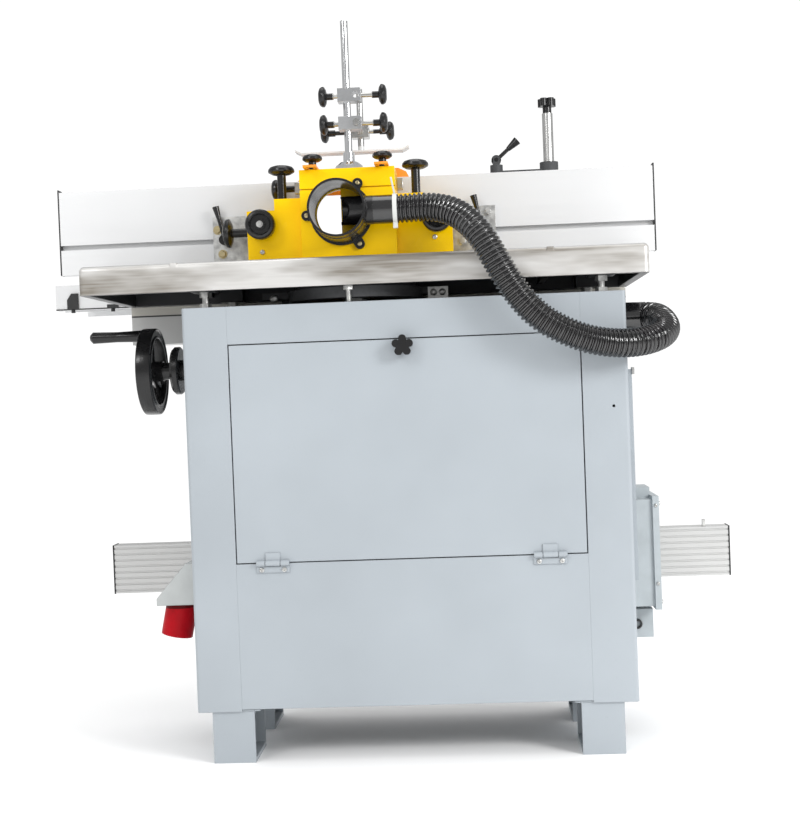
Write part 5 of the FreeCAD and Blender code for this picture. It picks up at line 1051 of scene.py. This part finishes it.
class MOULDER_OT_boxes(bpy.types.Operator):
    """Screws, gland and latch of the electrical box and side cover"""

    bl_idname = "moulder.boxes"
    bl_label = "Box fittings"

    def execute(self, context):
        self.box_screws()
        self.cable_gland()
        return {"FINISHED"}

    def box_screws(self):
        """Screws of the electrical box's lid, and the side cover's latch."""
        edit = bmesh.new()
        low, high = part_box("electrical_box")
        lid_middle = high[0] - 0.006
        edge_head, edge_rows = 0.0036, (0.419, 0.273)
        for z in edge_rows:
            add_socket_screw(edit, (lid_middle, low[1], z), REARWARD, edge_head)
        corner_head, corner_columns, corner_rows = 0.0042, (-0.090, 0.056), (0.238, 0.422)
        for y in corner_columns:
            for z in corner_rows:
                add_socket_screw(edit, (high[0], y, z), RIGHTWARD, corner_head)
        latch_low, latch_high = (0.450, -0.230, 0.664), (0.4545, -0.216, 0.6765)
        add_block(edit, latch_low, latch_high)
        add_piece("box_screws", edit, "cabinet", "zinc", bevel=0.0004)

    def cable_gland(self):
        """Black gland under the electrical box, open for a cable."""
        edit = bmesh.new()
        rim, chamfer, bore = 0.0095, 0.0085, 0.0058
        shoulder, length, floor = 0.004, 0.006, -0.002
        spot = (0.4655, -0.047, 0.190)
        profile = [(rim, 0), (rim, shoulder), (chamfer, length), (bore, length), (bore, floor), (0, floor)]
        spin_profile(edit, profile, facing_matrix(spot, REARWARD), steps=24)
        add_piece("cable_gland", edit, "cabinet", "box_plastic", "cap_black")


class MOULDER_PT_panel(bpy.types.Panel):
    """Steps that dress the machine"""

    bl_idname = "MOULDER_PT_panel"
    bl_label = "Spindle moulder"
    bl_space_type = "VIEW_3D"
    bl_region_type = "UI"
    bl_category = "Moulder"

    def draw(self, context):
        for step in STEPS:
            self.layout.operator(step.bl_idname)
        for group in (context.scene.moulder_colours, context.scene.moulder_sizes):
            for name in group.__annotations__:
                self.layout.prop(group, name)


STEPS = (
    MOULDER_OT_stage,
    MOULDER_OT_finishes,
    MOULDER_OT_hose,
    MOULDER_OT_fasteners,
    MOULDER_OT_wheel,
    MOULDER_OT_underside,
    MOULDER_OT_caps,
    MOULDER_OT_boxes,
)
CLASSES = (MoulderColours, MoulderSizes, *STEPS, MOULDER_PT_panel)


def register():
    """Register the classes and hang the settings on the scene."""
    for cls in CLASSES:
        bpy.utils.register_class(cls)
    bpy.types.Scene.moulder_colours = PointerProperty(type=MoulderColours)
    bpy.types.Scene.moulder_sizes = PointerProperty(type=MoulderSizes)


def unregister():
    """Take the settings and classes away again."""
    del bpy.types.Scene.moulder_colours
    del bpy.types.Scene.moulder_sizes
    for cls in reversed(CLASSES):
        bpy.utils.unregister_class(cls)


def main():
    """Dress the frame."""
    register()
    for step in STEPS:
        group, name = step.bl_idname.split(".")
        getattr(getattr(bpy.ops, group), name)()


if __name__ == "__main__":
    main()
